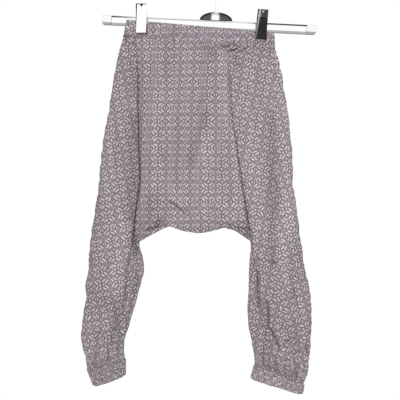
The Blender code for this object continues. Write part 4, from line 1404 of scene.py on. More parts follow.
    def maps(self, grid: Array, levels: Array, length: Array) -> dict[str, Array]:
        """Map coordinates of every point, as each stretch of cloth would carry them.

        Args:
            grid: The points.
            levels: Level of each row.
            length: Length along each row.

        Returns:
            An array of coordinates for each grain, and for the strip beside each leg.
        """
        drop = grid[:, :, 2]
        grains = GRAINS[self.side]
        inner = {Leg.RIGHT: GRID.leg, Leg.LEFT: GRID.all - GRID.leg}
        centre_run = np.full_like(length, np.nan)
        half = GRID.all // 2 + 1
        for leg, columns in ((Leg.RIGHT, slice(0, half)), (Leg.LEFT, slice(half, None))):
            centre_run[:, columns] = self.run_from(inner[leg], grid, length)[:, columns]
        body = levels <= CUT.crotch
        width = grid[body, inner[Leg.LEFT], 0] - grid[body, inner[Leg.RIGHT], 0]
        spread = width / (length[body, inner[Leg.LEFT]] - length[body, inner[Leg.RIGHT]])
        middle = slice(inner[Leg.RIGHT], inner[Leg.LEFT] + 1)
        centre_run[body, middle] = grid[body, inner[Leg.RIGHT], 0][:, None] + spread[:, None] * (
            length[body, middle] - length[body, inner[Leg.RIGHT]][:, None])
        centre = grains["centre"].place(centre_run, drop)
        places = {"centre": centre}
        blend = ease((levels - CUT.crotch) / 2.5)[:, None, None]
        at = int(np.searchsorted(levels, CUT.crotch + 1.3))
        for leg, fold in ((Leg.RIGHT, GRID.main), (Leg.LEFT, GRID.all - GRID.main)):
            run = self.run_from(fold, grid, length)
            drawn = 0.55 * ease((levels - CUT.last) / self.gather_levels + 1.0)[:, None]
            run = run + drawn * (run - grid[:, fold:fold + 1, 0])
            lie = grains[leg.value].place(run, drop)
            places[leg.value] = lie
            column = (fold + inner[leg]) // 2
            shift = PRINT.whole(lie[at, column] - centre[at, column])
            places[f"{leg.value}_strip"] = centre + (lie - shift - centre) * blend
            if leg is Leg.LEFT:
                places["left_side"] = grains["left_side"].place(run, drop)
        bunched = 1.7 * ease((levels - CUT.crotch) / 6.0)[:, None]
        return {name: PRINT.chart(place, (bunched, 8.5)) for name, place in places.items()}

    def build(self) -> Piece:
        """The panel as a thin closed shell."""
        grid, levels, painted_shade, length = self.points()
        maps = self.maps(grid, levels, length)
        there = ~np.isnan(grid[:, :, 0])
        number = np.full(there.shape, -1)
        number[there] = np.arange(there.sum())
        spots = grid[there]
        points = np.stack([spots[:, 0], spots[:, 1], -spots[:, 2]], -1) * MM
        faces, corners = [], []
        lie_of = self.column_lies()
        seam = np.interp(grid[:, :, 2], *zip(*SIDE_SEAM))
        beyond = grid[:, :, 0] > seam
        for row in range(len(levels) - 1):
            for column in range(GRID.all):
                ring = [(row, column), (row, column + 1), (row + 1, column + 1), (row + 1, column)]
                if self.side is Side.FRONT:
                    ring = ring[::-1]
                face = [number[spot] for spot in ring]
                if min(face) < 0:
                    continue
                faces.append(face)
                name = lie_of[column]
                if name == "left" and beyond[row, column]:
                    name = "left_side"
                corners.append([maps[name][spot] for spot in ring])
        piece = cloth_piece(f"{self.name}_cloth", points, faces, corners, painted_shade[there])
        shell = piece.modifiers.new("Shell", "SOLIDIFY")
        shell.thickness = CUT.shell * MM
        shell.offset = 0.0
        shell.use_even_offset = False
        freeze(piece)
        LOG.info("%s: %d faces", piece.name, len(piece.data.polygons))
        return piece

    @staticmethod
    def column_lies() -> list[str]:
        """Which print map each column of faces uses."""
        right = ["right"] * GRID.mid_lap + ["right_strip"] * (GRID.leg - GRID.mid_lap)
        left = [name.replace("right", "left") for name in reversed(right)]
        return [*right, *["centre"] * GRID.centre, *left]


@dataclass(frozen=True)
class Ends:
    """Across and drop of a level line's two ends."""

    left: Pair
    right: Pair

    def at(self, share: Array) -> tuple[Array, Array]:
        """Across and drop at a share of the way from left to right."""
        return tuple(self.left[k] + (self.right[k] - self.left[k]) * share for k in (0, 1))


@dataclass
class Band:
    """A doubled strip of cloth, turned at its top edge: the casing or a cuff.

    Each layer's stand-off comes from the subclass, and the section is a closed loop.
    """

    name: str
    node: str
    slot: str
    top: Ends
    foot: Ends
    half: float
    wall: float
    columns: int
    rows: int
    seed: int
    turn: int = 6
    ripples: Pair = (34.0, 1.3)     # ripples round each layer and down it

    def ripple(self, around: Array, down: Array) -> Array:
        """Noise that follows the gathers of the band."""
        return Wander(self.seed).at(around * self.ripples[0], down * self.ripples[1])

    def stand(self, side: Side, share: Array, across: Array) -> Array:
        """How far a layer stands off at a share of the way across."""
        raise NotImplementedError

    def pucker(self, around: Array, down: Array, calm: Array) -> Array:
        """Small uneven ripples across the band."""
        raise NotImplementedError

    def lie(self, across: Array, drop: Array) -> Array:
        """Print coordinates of points on the band."""
        raise NotImplementedError

    def sunk(self, around: Array, down: Array) -> Array:
        """Painted shade of points in puckers and by seams, below 0 painted light."""
        raise NotImplementedError

    def outline(self, share: Array, down: Array) -> tuple[Array, Array]:
        """Small departures of the band's edges from straight, as across and drop."""
        top = 0.45 * Wander(self.seed + 1).at(share * 9.0)
        return np.zeros_like(share), top * (1 - down) ** 2

    def surface(self, around: Array, down: Array) -> tuple[Array, ...]:
        """Points on the band's outer face.

        Args:
            around: Way round, 0 to 1 along the front and 1 to 2 along the back.
            down: 0 at the top edge and 1 at the foot.

        Returns:
            Across, Y, drop, and the outward direction's across and Y.
        """
        bend = self.turn / (self.columns + self.turn)
        side_share = (around % 1.0) / (1 - bend)
        share = np.minimum(side_share, 1.0)
        angle = math.pi * np.clip((side_share - 1.0) * (1 - bend) / bend, 0.0, 1.0)
        back = (around % 2.0) >= 1.0
        side = np.where(back, 1.0, -1.0)
        share = np.where(back, 1.0 - share, share)
        (x0, z0), (x1, z1) = self.top.at(share), self.foot.at(share)
        more_x, more_z = self.outline(share, down)
        across, drop = x0 + (x1 - x0) * down + more_x, z0 + (z1 - z0) * down + more_z
        off = np.where(back, self.stand(Side.BACK, share, across), self.stand(Side.FRONT, share, across))
        reach = self.half + self.wall / 2
        calm = np.cos(angle / 2) ** 2 * ease(np.minimum(share, 1 - share) / 0.06)
        ripple = self.pucker(around, down, calm)
        x = across - side * reach * np.sin(angle)
        y = CUT.middle_y + side * (reach + off + ripple) * np.cos(angle)
        ahead_x, ahead_y = np.gradient(x), np.gradient(y)
        length = np.hypot(ahead_x, ahead_y)
        return x, y, drop, ahead_y / length, -ahead_x / length

    def section(self) -> list[Pair]:
        """The band's closed section, as share of the way down and depth below the face."""
        half = self.wall / 2
        edge = half / math.dist(self.top.left, self.foot.left)
        bend = np.linspace(0, math.pi, 7)[1:-1]
        return [*((down, 0.0) for down in np.linspace(edge, 1 - edge, self.rows)),
                *((1 - edge + edge * math.sin(a), half - half * math.cos(a)) for a in bend),
                *((down, self.wall) for down in np.linspace(1 - edge, edge, self.rows // 2)),
                *((edge - edge * math.sin(a), half + half * math.cos(a)) for a in bend)]

    def build(self) -> Piece:
        """The band as a closed soft-edged loop."""
        count = 2 * (self.columns + self.turn)
        around = np.arange(count + 1) * 2.0 / count
        points, places, shades = [], [], []
        for down, deep in self.section():
            x, y, z, out_x, out_y = self.surface(around, np.full(count + 1, down))
            points.append(np.stack([x - out_x * deep, y - out_y * deep, -z], -1)[:-1] * MM)
            places.append(self.lie(x, z))
            shades.append(self.sunk(around[:-1], np.full(count, down)))
        points, places = np.array(points), np.array(places)
        rings = len(points)
        faces, corners = [], []
        for ring in range(rings):
            for step in range(count):
                spots = [(ring, step), ((ring + 1) % rings, step),
                         ((ring + 1) % rings, step + 1), (ring, step + 1)]
                faces.append([r * count + s % count for r, s in spots])
                corners.append([places[spot] for spot in spots])
        piece = cloth_piece(self.name, points.reshape(-1, 3), faces, corners, np.concatenate(shades))
        LOG.info("%s: %d faces", piece.name, len(piece.data.polygons))
        return piece

    def seam_path(self, down: float, lift: float) -> Array:
        """Points of a line of stitching round the band, in metres."""
        around = np.linspace(0.0, 2.0, 401)
        x, y, z, out_x, out_y = self.surface(around, np.full(len(around), down))
        return np.stack([x + out_x * lift, y + out_y * lift, -z], -1)[:-1] * MM


@dataclass
class Casing(Band):
    """The elastic casing at the waist, pinched flat under the two clips."""

    def stand(self, side: Side, share: Array, across: Array) -> Array:
        """The front sags forward between the clips."""
        return CUT.waist_bulge * CUT.pinch(across) if side is Side.FRONT else np.zeros_like(share)

    def pucker(self, around: Array, down: Array, calm: Array) -> Array:
        """Shallow upright ripples, drawn in only, so that the clips stay clear."""
        ripple = self.ripple(around, down) + 0.5 * Wander(self.seed + 2).at(around * 80.0, down)
        return 0.5 * calm * (ripple - 1.0) * np.sin(math.pi * np.clip(down, 0.0, 1.0)) ** 0.5

    def lie(self, across: Array, drop: Array) -> Array:
        """The print runs on from the centre of the panel, drawn up by the elastic."""
        return PRINT.chart(GRAINS[Side.FRONT]["centre"].place(1.18 * across, drop), bunched=(2.4, 9.0))

    def sunk(self, around: Array, down: Array) -> Array:
        """Painted light and shade in its ripples, painted shade by the seam and most at the two sides, and
        the painted shade spots.
        """
        ripple = 0.16 * self.ripple(around, down)
        side = np.abs(2.0 * (around % 1.0) - 1.0) ** 3
        seam = ease((down - 0.86) / 0.14) * (0.18 + 0.5 * side)
        spots = sum(spot.depth * np.exp(-((around - spot.share) / spot.wide) ** 2
                                        - ((down - spot.down) / spot.tall) ** 2) for spot in CASING_SHADE_SPOTS)
        return ripple + seam + 0.28 * side * ease((down - 0.3) / 0.5) + spots


@dataclass
class Cuff(Band):
    """A gathered ankle cuff."""

    ripples: Pair = (22.0, 0.9)
    crown: float = 4.8
    corner: float = 5.0
    grain_turn: float = 0.0
    drawn: float = 1.55         # how much the cloth is drawn up round the ankle
    seam_shade: float = 0.75
    # an even painted shade over the whole cuff
    darkening: float = 0.06

    def stand(self, side: Side, share: Array, across: Array) -> Array:
        """Both layers are rounded."""
        return self.crown * (1.0 - np.abs(1.0 - 2.0 * share) ** 4)

    def pucker(self, around: Array, down: Array, calm: Array) -> Array:
        """Ripples that follow the gathers above."""
        return 0.7 * calm * (self.ripple(around, down) - 0.4)

    def outline(self, share: Array, down: Array) -> tuple[Array, Array]:
        """A slightly uneven hem with rounded lower corners."""
        hem = 0.9 * Wander(self.seed + 1).at(share * 6.0) * np.sin(math.pi * share)
        width, height = math.dist(self.foot.left, self.foot.right), math.dist(self.top.left, self.foot.left)
        inward = np.clip(1.0 - np.minimum(share, 1.0 - share) * width / self.corner, 0.0, 1.0)
        low = np.clip(1.0 - (1.0 - down) * height / self.corner, 0.0, 1.0)
        shrink = np.maximum(inward, low) / np.maximum(np.hypot(inward, low), 1e-6) - 1.0
        inner, up = -self.corner * inward * shrink, -self.corner * low * shrink
        along = (np.array(self.foot.right) - self.foot.left) / width
        fall = (np.array(self.foot.left) - self.top.left) / height
        sign = np.where(share < 0.5, 1.0, -1.0)
        more_x = sign * inner * along[0] - up * fall[0]
        more_z = sign * inner * along[1] - up * fall[1]
        return more_x, more_z + hem * down ** 2

    def lie(self, across: Array, drop: Array) -> Array:
        """The print is turned with the cuff and drawn up by its gathers."""
        first, down = self.top.left
        grain = Grain(first + 7.0, down + 14.0, self.grain_turn)
        place = grain.place(first + self.drawn * (across - first), down + 1.12 * (drop - down))
        return PRINT.chart(place, bunched=(3.0, 7.0))

    def sunk(self, around: Array, down: Array) -> Array:
        """Painted shade, speckled under the seam, painted light and shade in soft ripples below, and an even
        painted shade over all.
        """
        speckle = 0.5 + 0.5 * Wander(self.seed + 3).at(around * 40.0, down * 6.0)
        seam = self.seam_shade * speckle * ease((0.16 - down) / 0.16)
        return -0.14 * self.ripple(around, down) + seam + self.darkening


# ---- stitches and springs -------------------------------------------------------------

def close_tree(graph: Graph, out: Socket, geometry: Socket, finish: Socket) -> Tree:
    """End a geometry tree: its result made real and smooth, with its finish."""
    real = graph.get("GeometryNodeRealizeInstances", {0: geometry})
    smooth = graph.get("GeometryNodeSetShadeSmooth", {0: real})
    graph.set(out, graph.get("GeometryNodeSetMaterial", {0: smooth, "Material": finish}))
    return graph.tree


def stitch_tree() -> Tree:
    """Geometry Nodes tree that lays a stitch at each step of a line."""
    graph, given, out = new_group("stitch_row", {
        "Line": GEOMETRY, "Step": 0.0028, "Length": 0.0019, "Thread": 0.00022, "Finish": FINISH},
        ["Stitches"], "GeometryNodeTree")
    curve = graph.get("GeometryNodeMeshToCurve", {0: given["Line"]})
    spaced = graph.get("GeometryNodeResampleCurve", {"Curve": curve, "Length": given["Step"]}, mode="LENGTH")
    facing = graph.get("FunctionNodeAlignRotationToVector",
                       {"Vector": graph.get("GeometryNodeInputTangent")}, axis="X")
    ball = graph.get("GeometryNodeMeshUVSphere", {"Segments": 8, "Rings": 6, "Radius": 0.5})
    size = graph.get("ShaderNodeCombineXYZ", {0: given["Length"], 1: given["Thread"], 2: given["Thread"]})
    placed = graph.get("GeometryNodeInstanceOnPoints", {
        "Points": spaced, "Instance": ball, "Rotation": facing, "Scale": size})
    return close_tree(graph, out[0], placed, given["Finish"])


def spring_tree() -> Tree:
    """Geometry Nodes tree of a close-wound spring along X with a pin through it."""
    graph, given, out = new_group("clip_spring", {
        "Base": GEOMETRY, "Turns": 9.0, "Coil Radius": 0.0025, "Width": 0.012, "Wire": 0.00045,
        "Pin Radius": 0.0013, "Pin Length": 0.0177, "Finish": FINISH}, ["Spring"], "GeometryNodeTree")
    spiral = graph.get("GeometryNodeCurveSpiral", {
        "Resolution": 20, "Rotations": given["Turns"], "Start Radius": given["Coil Radius"],
        "End Radius": given["Coil Radius"], "Height": given["Width"]})
    ring = graph.get("GeometryNodeCurvePrimitiveCircle", {"Resolution": 8, "Radius": given["Wire"]})
    coil = graph.get("GeometryNodeCurveToMesh", {"Curve": spiral, "Profile Curve": ring, "Fill Caps": True})
    shift = graph.get("ShaderNodeCombineXYZ", {2: graph.math("MULTIPLY", given["Width"], -0.5)})
    centred = graph.get("GeometryNodeTransform", {"Geometry": coil, "Translation": shift})
    pin = graph.get("GeometryNodeMeshCylinder", {
        "Vertices": 20, "Radius": given["Pin Radius"], "Depth": given["Pin Length"]})
    joined = graph.add("GeometryNodeJoinGeometry")
    for part in (centred, pin):
        graph.set(joined.inputs[0], part)
    turned = graph.get("GeometryNodeTransform", {"Geometry": joined.outputs[0],
                                                 "Rotation": (0.0, math.pi / 2, 0.0)})
    return close_tree(graph, out[0], turned, given["Finish"])


def apply_tree(piece: Piece, tree: Tree, inputs: dict[str, object]) -> None:
    """Run a geometry tree on a piece and keep the result as its plain mesh.

    Args:
        piece: The piece that carries the tree's own input.
        tree: The tree.
        inputs: Values by the input's name.
    """
    modifier = piece.modifiers.new("Nodes", "NODES")
    modifier.node_group = tree
    for item in tree.interface.items_tree:
        if item.item_type == "SOCKET" and item.in_out == "INPUT" and item.name in inputs:
            modifier[item.identifier] = inputs[item.name]
    freeze(piece)


def sew(name: str, path: Array, tree: Tree, thread: Material) -> Piece:
    """A closed row of stitches.

    Args:
        name: The piece's name.
        path: Points of the closed line, in metres.
        tree: The tree that lays the stitches.
        thread: The thread's material.

    Returns:
        The stitches as one plain mesh.
    """
    mesh = bpy.data.meshes.new(name)
    count = len(path)
    mesh.from_pydata(path.tolist(), [(i, (i + 1) % count) for i in range(count)], [])
    piece = new_piece(name, mesh)
    apply_tree(piece, tree, {"Finish": thread})
    return piece


# ---- the hanger -----------------------------------------------------------------------

@dataclass
class Hanger:
    """Channel bar, end caps, seat, hook and two clips."""

    nodes: dict[str, Piece]
    tilt: float = math.radians(2.7)
    bar_drop: float = 95.0
    bar_height: float = 15.5
    bar_length: float = 353.0
    bar_shift: float = -11.0
    cap_size: Triple = (15.0, 7.0, 15.5)
    cap_corners: tuple[tuple[int, float], ...] = ((-1, 5.2), (1, 1.8))
    jaw_top: Pair = (-12.6, 28.6)
    jaw_knee: Pair = (-8.4, 17.0)
    sheet: float = 1.0
    strap: Pair = (-6.4, 3.6)
    seat_size: Triple = (54.0, 18.0, 14.0)
    gap: float = 0.3
    wire: float = 2.0
    crown: float = 21.0
    stem_top: float = -58.0
    neck: tuple[Pair, ...] = (
        (1.4, -53.5), (5.2, -47.6), (10.8, -41.8), (16.0, -35.0), (19.6, -28.0))
    tip: tuple[Pair, ...] = ((-19.6, -28.5), (-22.5, -33.5))

    def place(self, mesh: Mesh) -> None:
        """Tilt a mesh with the hanger."""
        mesh.transform(Matrix.Rotation(self.tilt, 4, "Y"))

    def hook(self) -> Piece:
        """The wire hook as a smooth tube with a rounded tip."""
        foot = -self.bar_drop + self.bar_height / 2 + self.seat_size[2] + 2 * self.gap
        centre = self.wire - self.crown
        loop = [(self.crown * math.cos(a), centre + self.crown * math.sin(a))
                for a in np.radians(np.linspace(-8, 188, 22))]
        route = [(0.0, foot), (0.0, (foot + self.stem_top) / 2), (0.0, self.stem_top),
                 *self.neck, *loop, *self.tip]
        curve = bpy.data.curves.new("hook_wire", "CURVE")
        curve.dimensions = "3D"
        curve.bevel_depth = self.wire * MM
        curve.bevel_resolution = 5
        curve.use_fill_caps = True
        spline = curve.splines.new("BEZIER")
        spline.bezier_points.add(len(route) - 1)
        for point, (across, height) in zip(spline.bezier_points, route):
            point.co = (across * MM, 0.0, height * MM)
            point.handle_left_type = point.handle_right_type = "AUTO"
        spline.resolution_u = 4
        holder = new_piece("hook_route", curve)
        mesh = evaluated_mesh(holder)
        bpy.data.objects.remove(holder)
        with editing(mesh) as bm:
            bmesh.ops.remove_doubles(bm, verts=bm.verts, dist=SAME_POINT)
            bmesh.ops.recalc_face_normals(bm, faces=bm.faces)
        mesh.shade_smooth()
        self.place(mesh)
        return new_piece("hook_wire", mesh)

    def dome(self, name: str, grow: float, ends: Pair) -> Piece:
        """The low dome on the bar, or the strap that runs over the middle of it.

        Args:
            name: The piece's name.
            grow: How much larger than the seat it is each way, in millimetres.
            ends: Where it ends on the left and on the right, from the seat's middle.

        Returns:
            A closed piece with a flat foot.
        """
        width, depth, height = self.seat_size
        size = Vector((width / 2 + grow, depth / 2 + grow, height + grow))
        lift = -self.bar_drop + self.bar_height / 2 + self.gap
        mesh = bpy.data.meshes.new(name)
        with editing(mesh) as bm:
            bmesh.ops.create_uvsphere(bm, u_segments=64, v_segments=32, radius=1.0)
            bmesh.ops.scale(bm, verts=bm.verts, vec=size)
            for spot, normal in (((0, 0, 0), (0, 0, -1)), ((ends[1], 0, 0), (1, 0, 0)),
                                 ((ends[0], 0, 0), (-1, 0, 0))):
                bmesh.ops.bisect_plane(bm, geom=bm.verts[:] + bm.edges[:] + bm.faces[:], plane_co=spot,
                                       plane_no=normal, clear_outer=True, dist=1e-4)
                bmesh.ops.holes_fill(bm, edges=[e for e in bm.edges if e.is_boundary])
            bmesh.ops.translate(bm, verts=bm.verts, vec=Vector((0, 0, lift)))
            bmesh.ops.scale(bm, verts=bm.verts, vec=Vector((MM, MM, MM)))
            bmesh.ops.recalc_face_normals(bm, faces=bm.faces)
        mesh.shade_smooth()
        mesh.set_sharp_from_angle(angle=math.radians(50))
        self.place(mesh)
        return new_piece(name, mesh)

    def cap(self, label: str, outward: int) -> Piece:
        """An end cap with rounded outer corners; outward is the sign of its across."""
        across = self.bar_shift + outward * (self.bar_length - self.cap_size[0]) / 2
        mesh = bpy.data.meshes.new(f"cap_{label}_moulded")
        with editing(mesh) as bm:
            bmesh.ops.create_cube(bm, size=1.0)
            bmesh.ops.scale(bm, verts=bm.verts, vec=Vector(self.cap_size) * MM)
            for up, radius in self.cap_corners:
                corner = [edge for edge in bm.edges
                          if all(v.co.x * outward > 0 and v.co.z * up > 0 for v in edge.verts)]
                bmesh.ops.bevel(bm, geom=corner, offset=radius * MM, segments=7, profile=0.5, affect="EDGES")
            bmesh.ops.translate(bm, verts=bm.verts, vec=Vector((across, 0.0, -self.bar_drop)) * MM)
        self.place(mesh)
        return self.softened(mesh, 0.5)

    def pressed(self, node: str, edge: float, mirror: bool = False) -> Piece:
        """A sheet-metal piece on its solid's form, with its edges broken."""
        mesh = bpy.data.meshes.new(f"{node}_pressed")
        with editing(mesh, self.nodes[node].data) as bm:
            bmesh.ops.remove_doubles(bm, verts=bm.verts, dist=SAME_POINT)
            bmesh.ops.dissolve_limit(bm, angle_limit=math.radians(1.0), verts=bm.verts, edges=bm.edges)
        return self.softened(mesh, edge, mirror)

    @staticmethod
    def softened(mesh: Mesh, edge: float, mirror: bool = False) -> Piece:
        """A piece with its edges rounded by a radius in millimetres, and true flat faces for a mirror."""
        mesh.shade_smooth()
        piece = new_piece(mesh.name, mesh)
        bevel = piece.modifiers.new("Edges", "BEVEL")
        bevel.width = edge * MM
        bevel.segments = 3
        bevel.limit_method = "ANGLE"
        bevel.harden_normals = True
        freeze(piece)
        if mirror:
            piece.data.shade_flat()
        return piece

    def spot(self, across: float) -> Vector:
        """The middle of a clip on the bar, in millimetres."""
        along = across / math.cos(self.tilt) + self.bar_drop * math.sin(self.tilt)
        return Matrix.Rotation(self.tilt, 4, "Y") @ Vector((along, 0.0, -self.bar_drop))

    def mark(self, name: str, across: float, lean: float, outline: Sequence[Pair]) -> Piece:
        """A thin piece on the outer face of a front jaw's flared top, for a painted dark lip or a painted
        highlight.

        Args:
            name: The piece's name.
            across: The clip's across.
            lean: How far the clip leans, in radians.
            outline: Its corners, as across from the clip's middle and distance below its top edge.

        Returns:
            A closed thin piece.
        """
        top, knee = Vector((0.0, *self.jaw_top)), Vector((0.0, *self.jaw_knee))
        down = (knee - top).normalized()
        out = Vector((-1.0, 0.0, 0.0)).cross(down)
        count = len(outline)
        points = [Vector((x, 0.0, 0.0)) + top + down * low + out * (self.sheet / 2 + off)
                  for off in (0.02, 0.22) for x, low in outline]
        sides = [(i, (i + 1) % count, count + (i + 1) % count, count + i) for i in range(count)]
        mesh = bpy.data.meshes.new(name)
        mesh.from_pydata(points, [], [tuple(range(count)), tuple(range(count, 2 * count)), *sides])
        origin = self.spot(across)
        mesh.transform(Matrix.Scale(MM, 4) @ Matrix.Translation(origin) @ Matrix.Rotation(lean, 4, "Y"))
        with editing(mesh) as bm:
            bmesh.ops.recalc_face_normals(bm, faces=bm.faces)
        return new_piece(name, mesh)

    def spring(self, label: str, lean: float, tree: Tree, steel: Material) -> Piece:
        """The pin and spring of one clip."""
        low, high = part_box(f"clip_{label}_pin")
        piece = new_piece(f"clip_{label}_spring", bpy.data.meshes.new(f"clip_{label}_spring"))
        apply_tree(piece, tree, {"Finish": steel})
        piece.data.transform(Matrix.Translation((low + high) / 2) @ Matrix.Rotation(lean, 4, "Y"))
        return piece


# ---- the studio -----------------------------------------------------------------------

@dataclass(frozen=True)
class Card:
    """A small plain card in front of the garment, seen only in polished metal.

    tone is its grey from 0 to 255, and corners are given as X and Z.
    """

    tone: float
    distance: float
    corners: tuple[Pair, ...]


# A dark card with a grey one behind it for the left clip, and one pair for its flared top.
CARDS: tuple[Card, ...] = table(Card, (
    (190, 1.62, ((0.112, 0.02), (0.150, 0.02), (0.160, 0.20), (0.112, 0.20))),
    (46, 1.60, ((0.117, 0.027), (0.166, 0.027), (0.166, 0.196), (0.151, 0.196))),
    (190, 1.62, ((0.030, -1.15), (0.060, -1.15), (0.060, -0.95), (0.030, -0.95))),
    (74, 1.60, ((0.056, -1.15), (0.095, -1.15), (0.095, -0.95), (0.056, -0.95))),
    (268, 1.60, ((-0.24, -1.15), (-0.17, -1.15), (-0.17, -0.95), (-0.24, -0.95))),
    (40, 1.60, ((-0.45, 1.80), (0.55, 1.80), (0.55, 2.50), (-0.45, 2.50))),
))


@dataclass
class Studio:
    """A plain pale floor, soft light and the camera."""

    centre: Pair = (-0.0305, -0.3828)
    view_width: float = 0.660
    distance: float = 2.2
    floor_drop: float = 1.25
    floor_radius: float = 3.0
    front: Pair = (-0.75, 0.15)         # where the room turns dim, from its front to its back
    shiny: Pair = (1.0, 0.10)           # how bright the front is beyond the rest, and the rest,
    soft: Pair = (0.77, 0.18)           # first for polished things, then for matt ones

    def build(self) -> None:
        """Add all of it."""
        self.floor()
        self.cards()
        self.world()
        self.light("key", (-1.0, -2.3, 1.0), size=1.2, power=11.4)
        self.light("fill", (1.6, -1.9, 0.1), size=1.2, power=4.9)
        self.light("back", (0.5, 2.3, 1.5), size=1.6, power=17.0)
        self.camera()

    def floor(self) -> None:
        """A pale round floor below the hem."""
        mesh = bpy.data.meshes.new("floor")
        with editing(mesh) as bm:
            bmesh.ops.create_circle(bm, cap_ends=True, segments=96, radius=self.floor_radius)
        floor = new_piece("floor", mesh)
        floor.location.z = -self.floor_drop
        mesh.materials.append(new_material("pale_floor", {
            "Base Color": tint(250, 250, 251), "Roughness": 0.8})[0])

    def cards(self) -> None:
        """The cards that polished metal shows."""
        for index, card in enumerate(CARDS):
            mesh = bpy.data.meshes.new(f"card_{index}")
            corners = [(x, -card.distance, z) for x, z in card.corners]
            mesh.from_pydata(corners, [], [tuple(range(len(corners)))])
            mesh.materials.append(new_material(mesh.name, {
                "Base Color": tint(0, 0, 0), "Roughness": 1.0, "Specular IOR Level": 0.0,
                "Emission Color": tint(card.tone, card.tone, card.tone), "Emission Strength": 1.0})[0])
            piece = new_piece(mesh.name, mesh)
            piece.visible_camera = piece.visible_diffuse = piece.visible_shadow = False
            piece.visible_transmission = False

    def world(self) -> None:
        """A white room, open to the front: its sides and back are dimmer to all but the camera."""
        world = bpy.data.worlds.new("white_room")
        bpy.context.scene.world = world
        world.use_nodes = True
        graph = Graph(world.node_tree)
        background = world.node_tree.nodes["Background"]
        background.inputs["Color"].default_value = (1.0, 1.0, 1.0, 1.0)
        path = graph.add("ShaderNodeLightPath")
        toward = graph.parts(graph.add("ShaderNodeTexCoord").outputs["Generated"])
        front = graph.fade(toward[1], *self.front)
        shiny, soft = (graph.math("MULTIPLY_ADD", front, *light) for light in (self.shiny, self.soft))
        seen = graph.math("MULTIPLY_ADD", path.outputs["Is Diffuse Ray"], graph.math("SUBTRACT", soft, shiny),
                          shiny)
        camera = path.outputs["Is Camera Ray"]
        rest = graph.math("MULTIPLY", graph.math("SUBTRACT", 1.0, camera), seen)
        graph.set(background.inputs["Strength"], graph.math("ADD", camera, rest))

    def light(self, name: str, place: Triple, size: float, power: float) -> None:
        """One soft square light, aimed at the middle of the garment."""
        lamp = bpy.data.lights.new(name, "AREA")
        lamp.size = size
        lamp.energy = power
        holder = new_piece(name, lamp)
        holder.location = place
        aim = Vector((self.centre[0], 0.0, self.centre[1])) - Vector(place)
        holder.rotation_euler = aim.to_track_quat("-Z", "Y").to_euler()
        holder.visible_glossy = False

    def camera(self) -> None:
        """Straight on, at the height of the garment's middle."""
        lens = bpy.data.cameras.new("camera")
        lens.sensor_width = 36.0
        lens.lens = lens.sensor_width * self.distance / self.view_width
        holder = new_piece("camera", lens)
        holder.location = (self.centre[0], -self.distance, self.centre[1])
        holder.rotation_euler = (math.pi / 2, 0.0, 0.0)
        bpy.context.scene.camera = holder
        bpy.context.scene.view_settings.view_transform = "Standard"


# ---- putting it together --------------------------------------------------------------

def dress(piece: Piece, material: Material, slot: str, *nodes: str) -> None:
    """Give a piece its finish, and let it ride and stand for its nodes."""
    piece.data.materials.clear()
    piece.data.materials.append(material)
    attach(piece, "root")
    if nodes:
        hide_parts(*nodes)


def make_garment(textures: Textures) -> None:
    """The five pieces of cloth and their stitching."""
    body = PrintedCotton("printed_cotton", "printed_cotton", lift=0.955)
    # The casing's and the cuffs' copies of the cotton are painted darker by their lift: painted shade
    casing_cloth = PrintedCotton("printed_casing", "printed_casing", lift=0.915)
    cuff_cloth = PrintedCotton("printed_cuff", "printed_cuff", lift=0.95)
    cotton = body.make(textures)
    for side, lap_share, shift, flat, area in (
            (Side.FRONT, 1.0, 0.0, (0.46, 0.59), 0.185), (Side.BACK, 0.75, 5.0, (0.46, 0.59), 0.183)):
        panel = Panel(side, lap_share, shift)
        piece = panel.build()
        dress(piece, cotton, body.slot, panel.name)
    thread = Thread()
    thread_material, stitches = thread.make(), stitch_tree()
    first, last = LEVELS[Leg.RIGHT][0], LEVELS[Leg.LEFT][0]
    foot = Ends((first.outer + 1.5, first.outer_drop - 0.3), (last.outer - 1.5, last.outer_drop - 0.3))
    top = Ends((-149.6, 86.6), (90.0, 108.0))
    casing = Casing("waistband_cloth", "waistband", "printed_casing", top, foot,
                    half=1.1, wall=1.6, columns=96, rows=12, seed=60)
    right = Cuff("cuff_right_cloth", "cuff_right", "printed_cuff", Ends((-215.5, 660.3), (-154.5, 643.8)),
                 Ends((-204.0, 690.5), (-154.0, 672.5)), half=1.2, wall=1.8, columns=44, rows=12, seed=70,
                 grain_turn=15.0, darkening=0.22)
    left = Cuff("cuff_left_cloth", "cuff_left", "printed_cuff", Ends((60.0, 653.8), (140.0, 686.8)),
                Ends((53.5, 678.0), (136.5, 703.5)), half=1.2, wall=1.8, columns=52, rows=12, seed=80,
                grain_turn=-22.0, seam_shade=0.25)
    casing_material, cuff_material = casing_cloth.make(textures), cuff_cloth.make(textures)
    for band, material, flat, seam, held_by in (
            (casing, casing_material, (0.50, 0.028), 0.93, "bar"),
            (right, cuff_material, (0.135, 0.031), 0.08, "front_cloth"),
            (left, cuff_material, (0.185, 0.026), 0.08, "front_cloth")):
        piece = band.build()
        dress(piece, material, band.slot, band.node)
        row = sew(f"{band.node}_stitches", band.seam_path(seam, 0.02), stitches, thread_material)
        dress(row, thread_material, thread.slot)


# The dark lip of the plain clip, a painted reflection and shadow, and the bright nick of the other, a painted
# highlight, as across and distance down.
PAINTED_DARK_LIP = ((-8.7, 0.0), (8.7, 0.0), (8.7, 1.3), (3.4, 1.3), (0.5, 5.8), (-2.4, 1.3), (-8.7, 1.3))
PAINTED_BRIGHT_NICK = ((-1.5, 2.6), (1.9, 2.6), (0.4, 5.4))


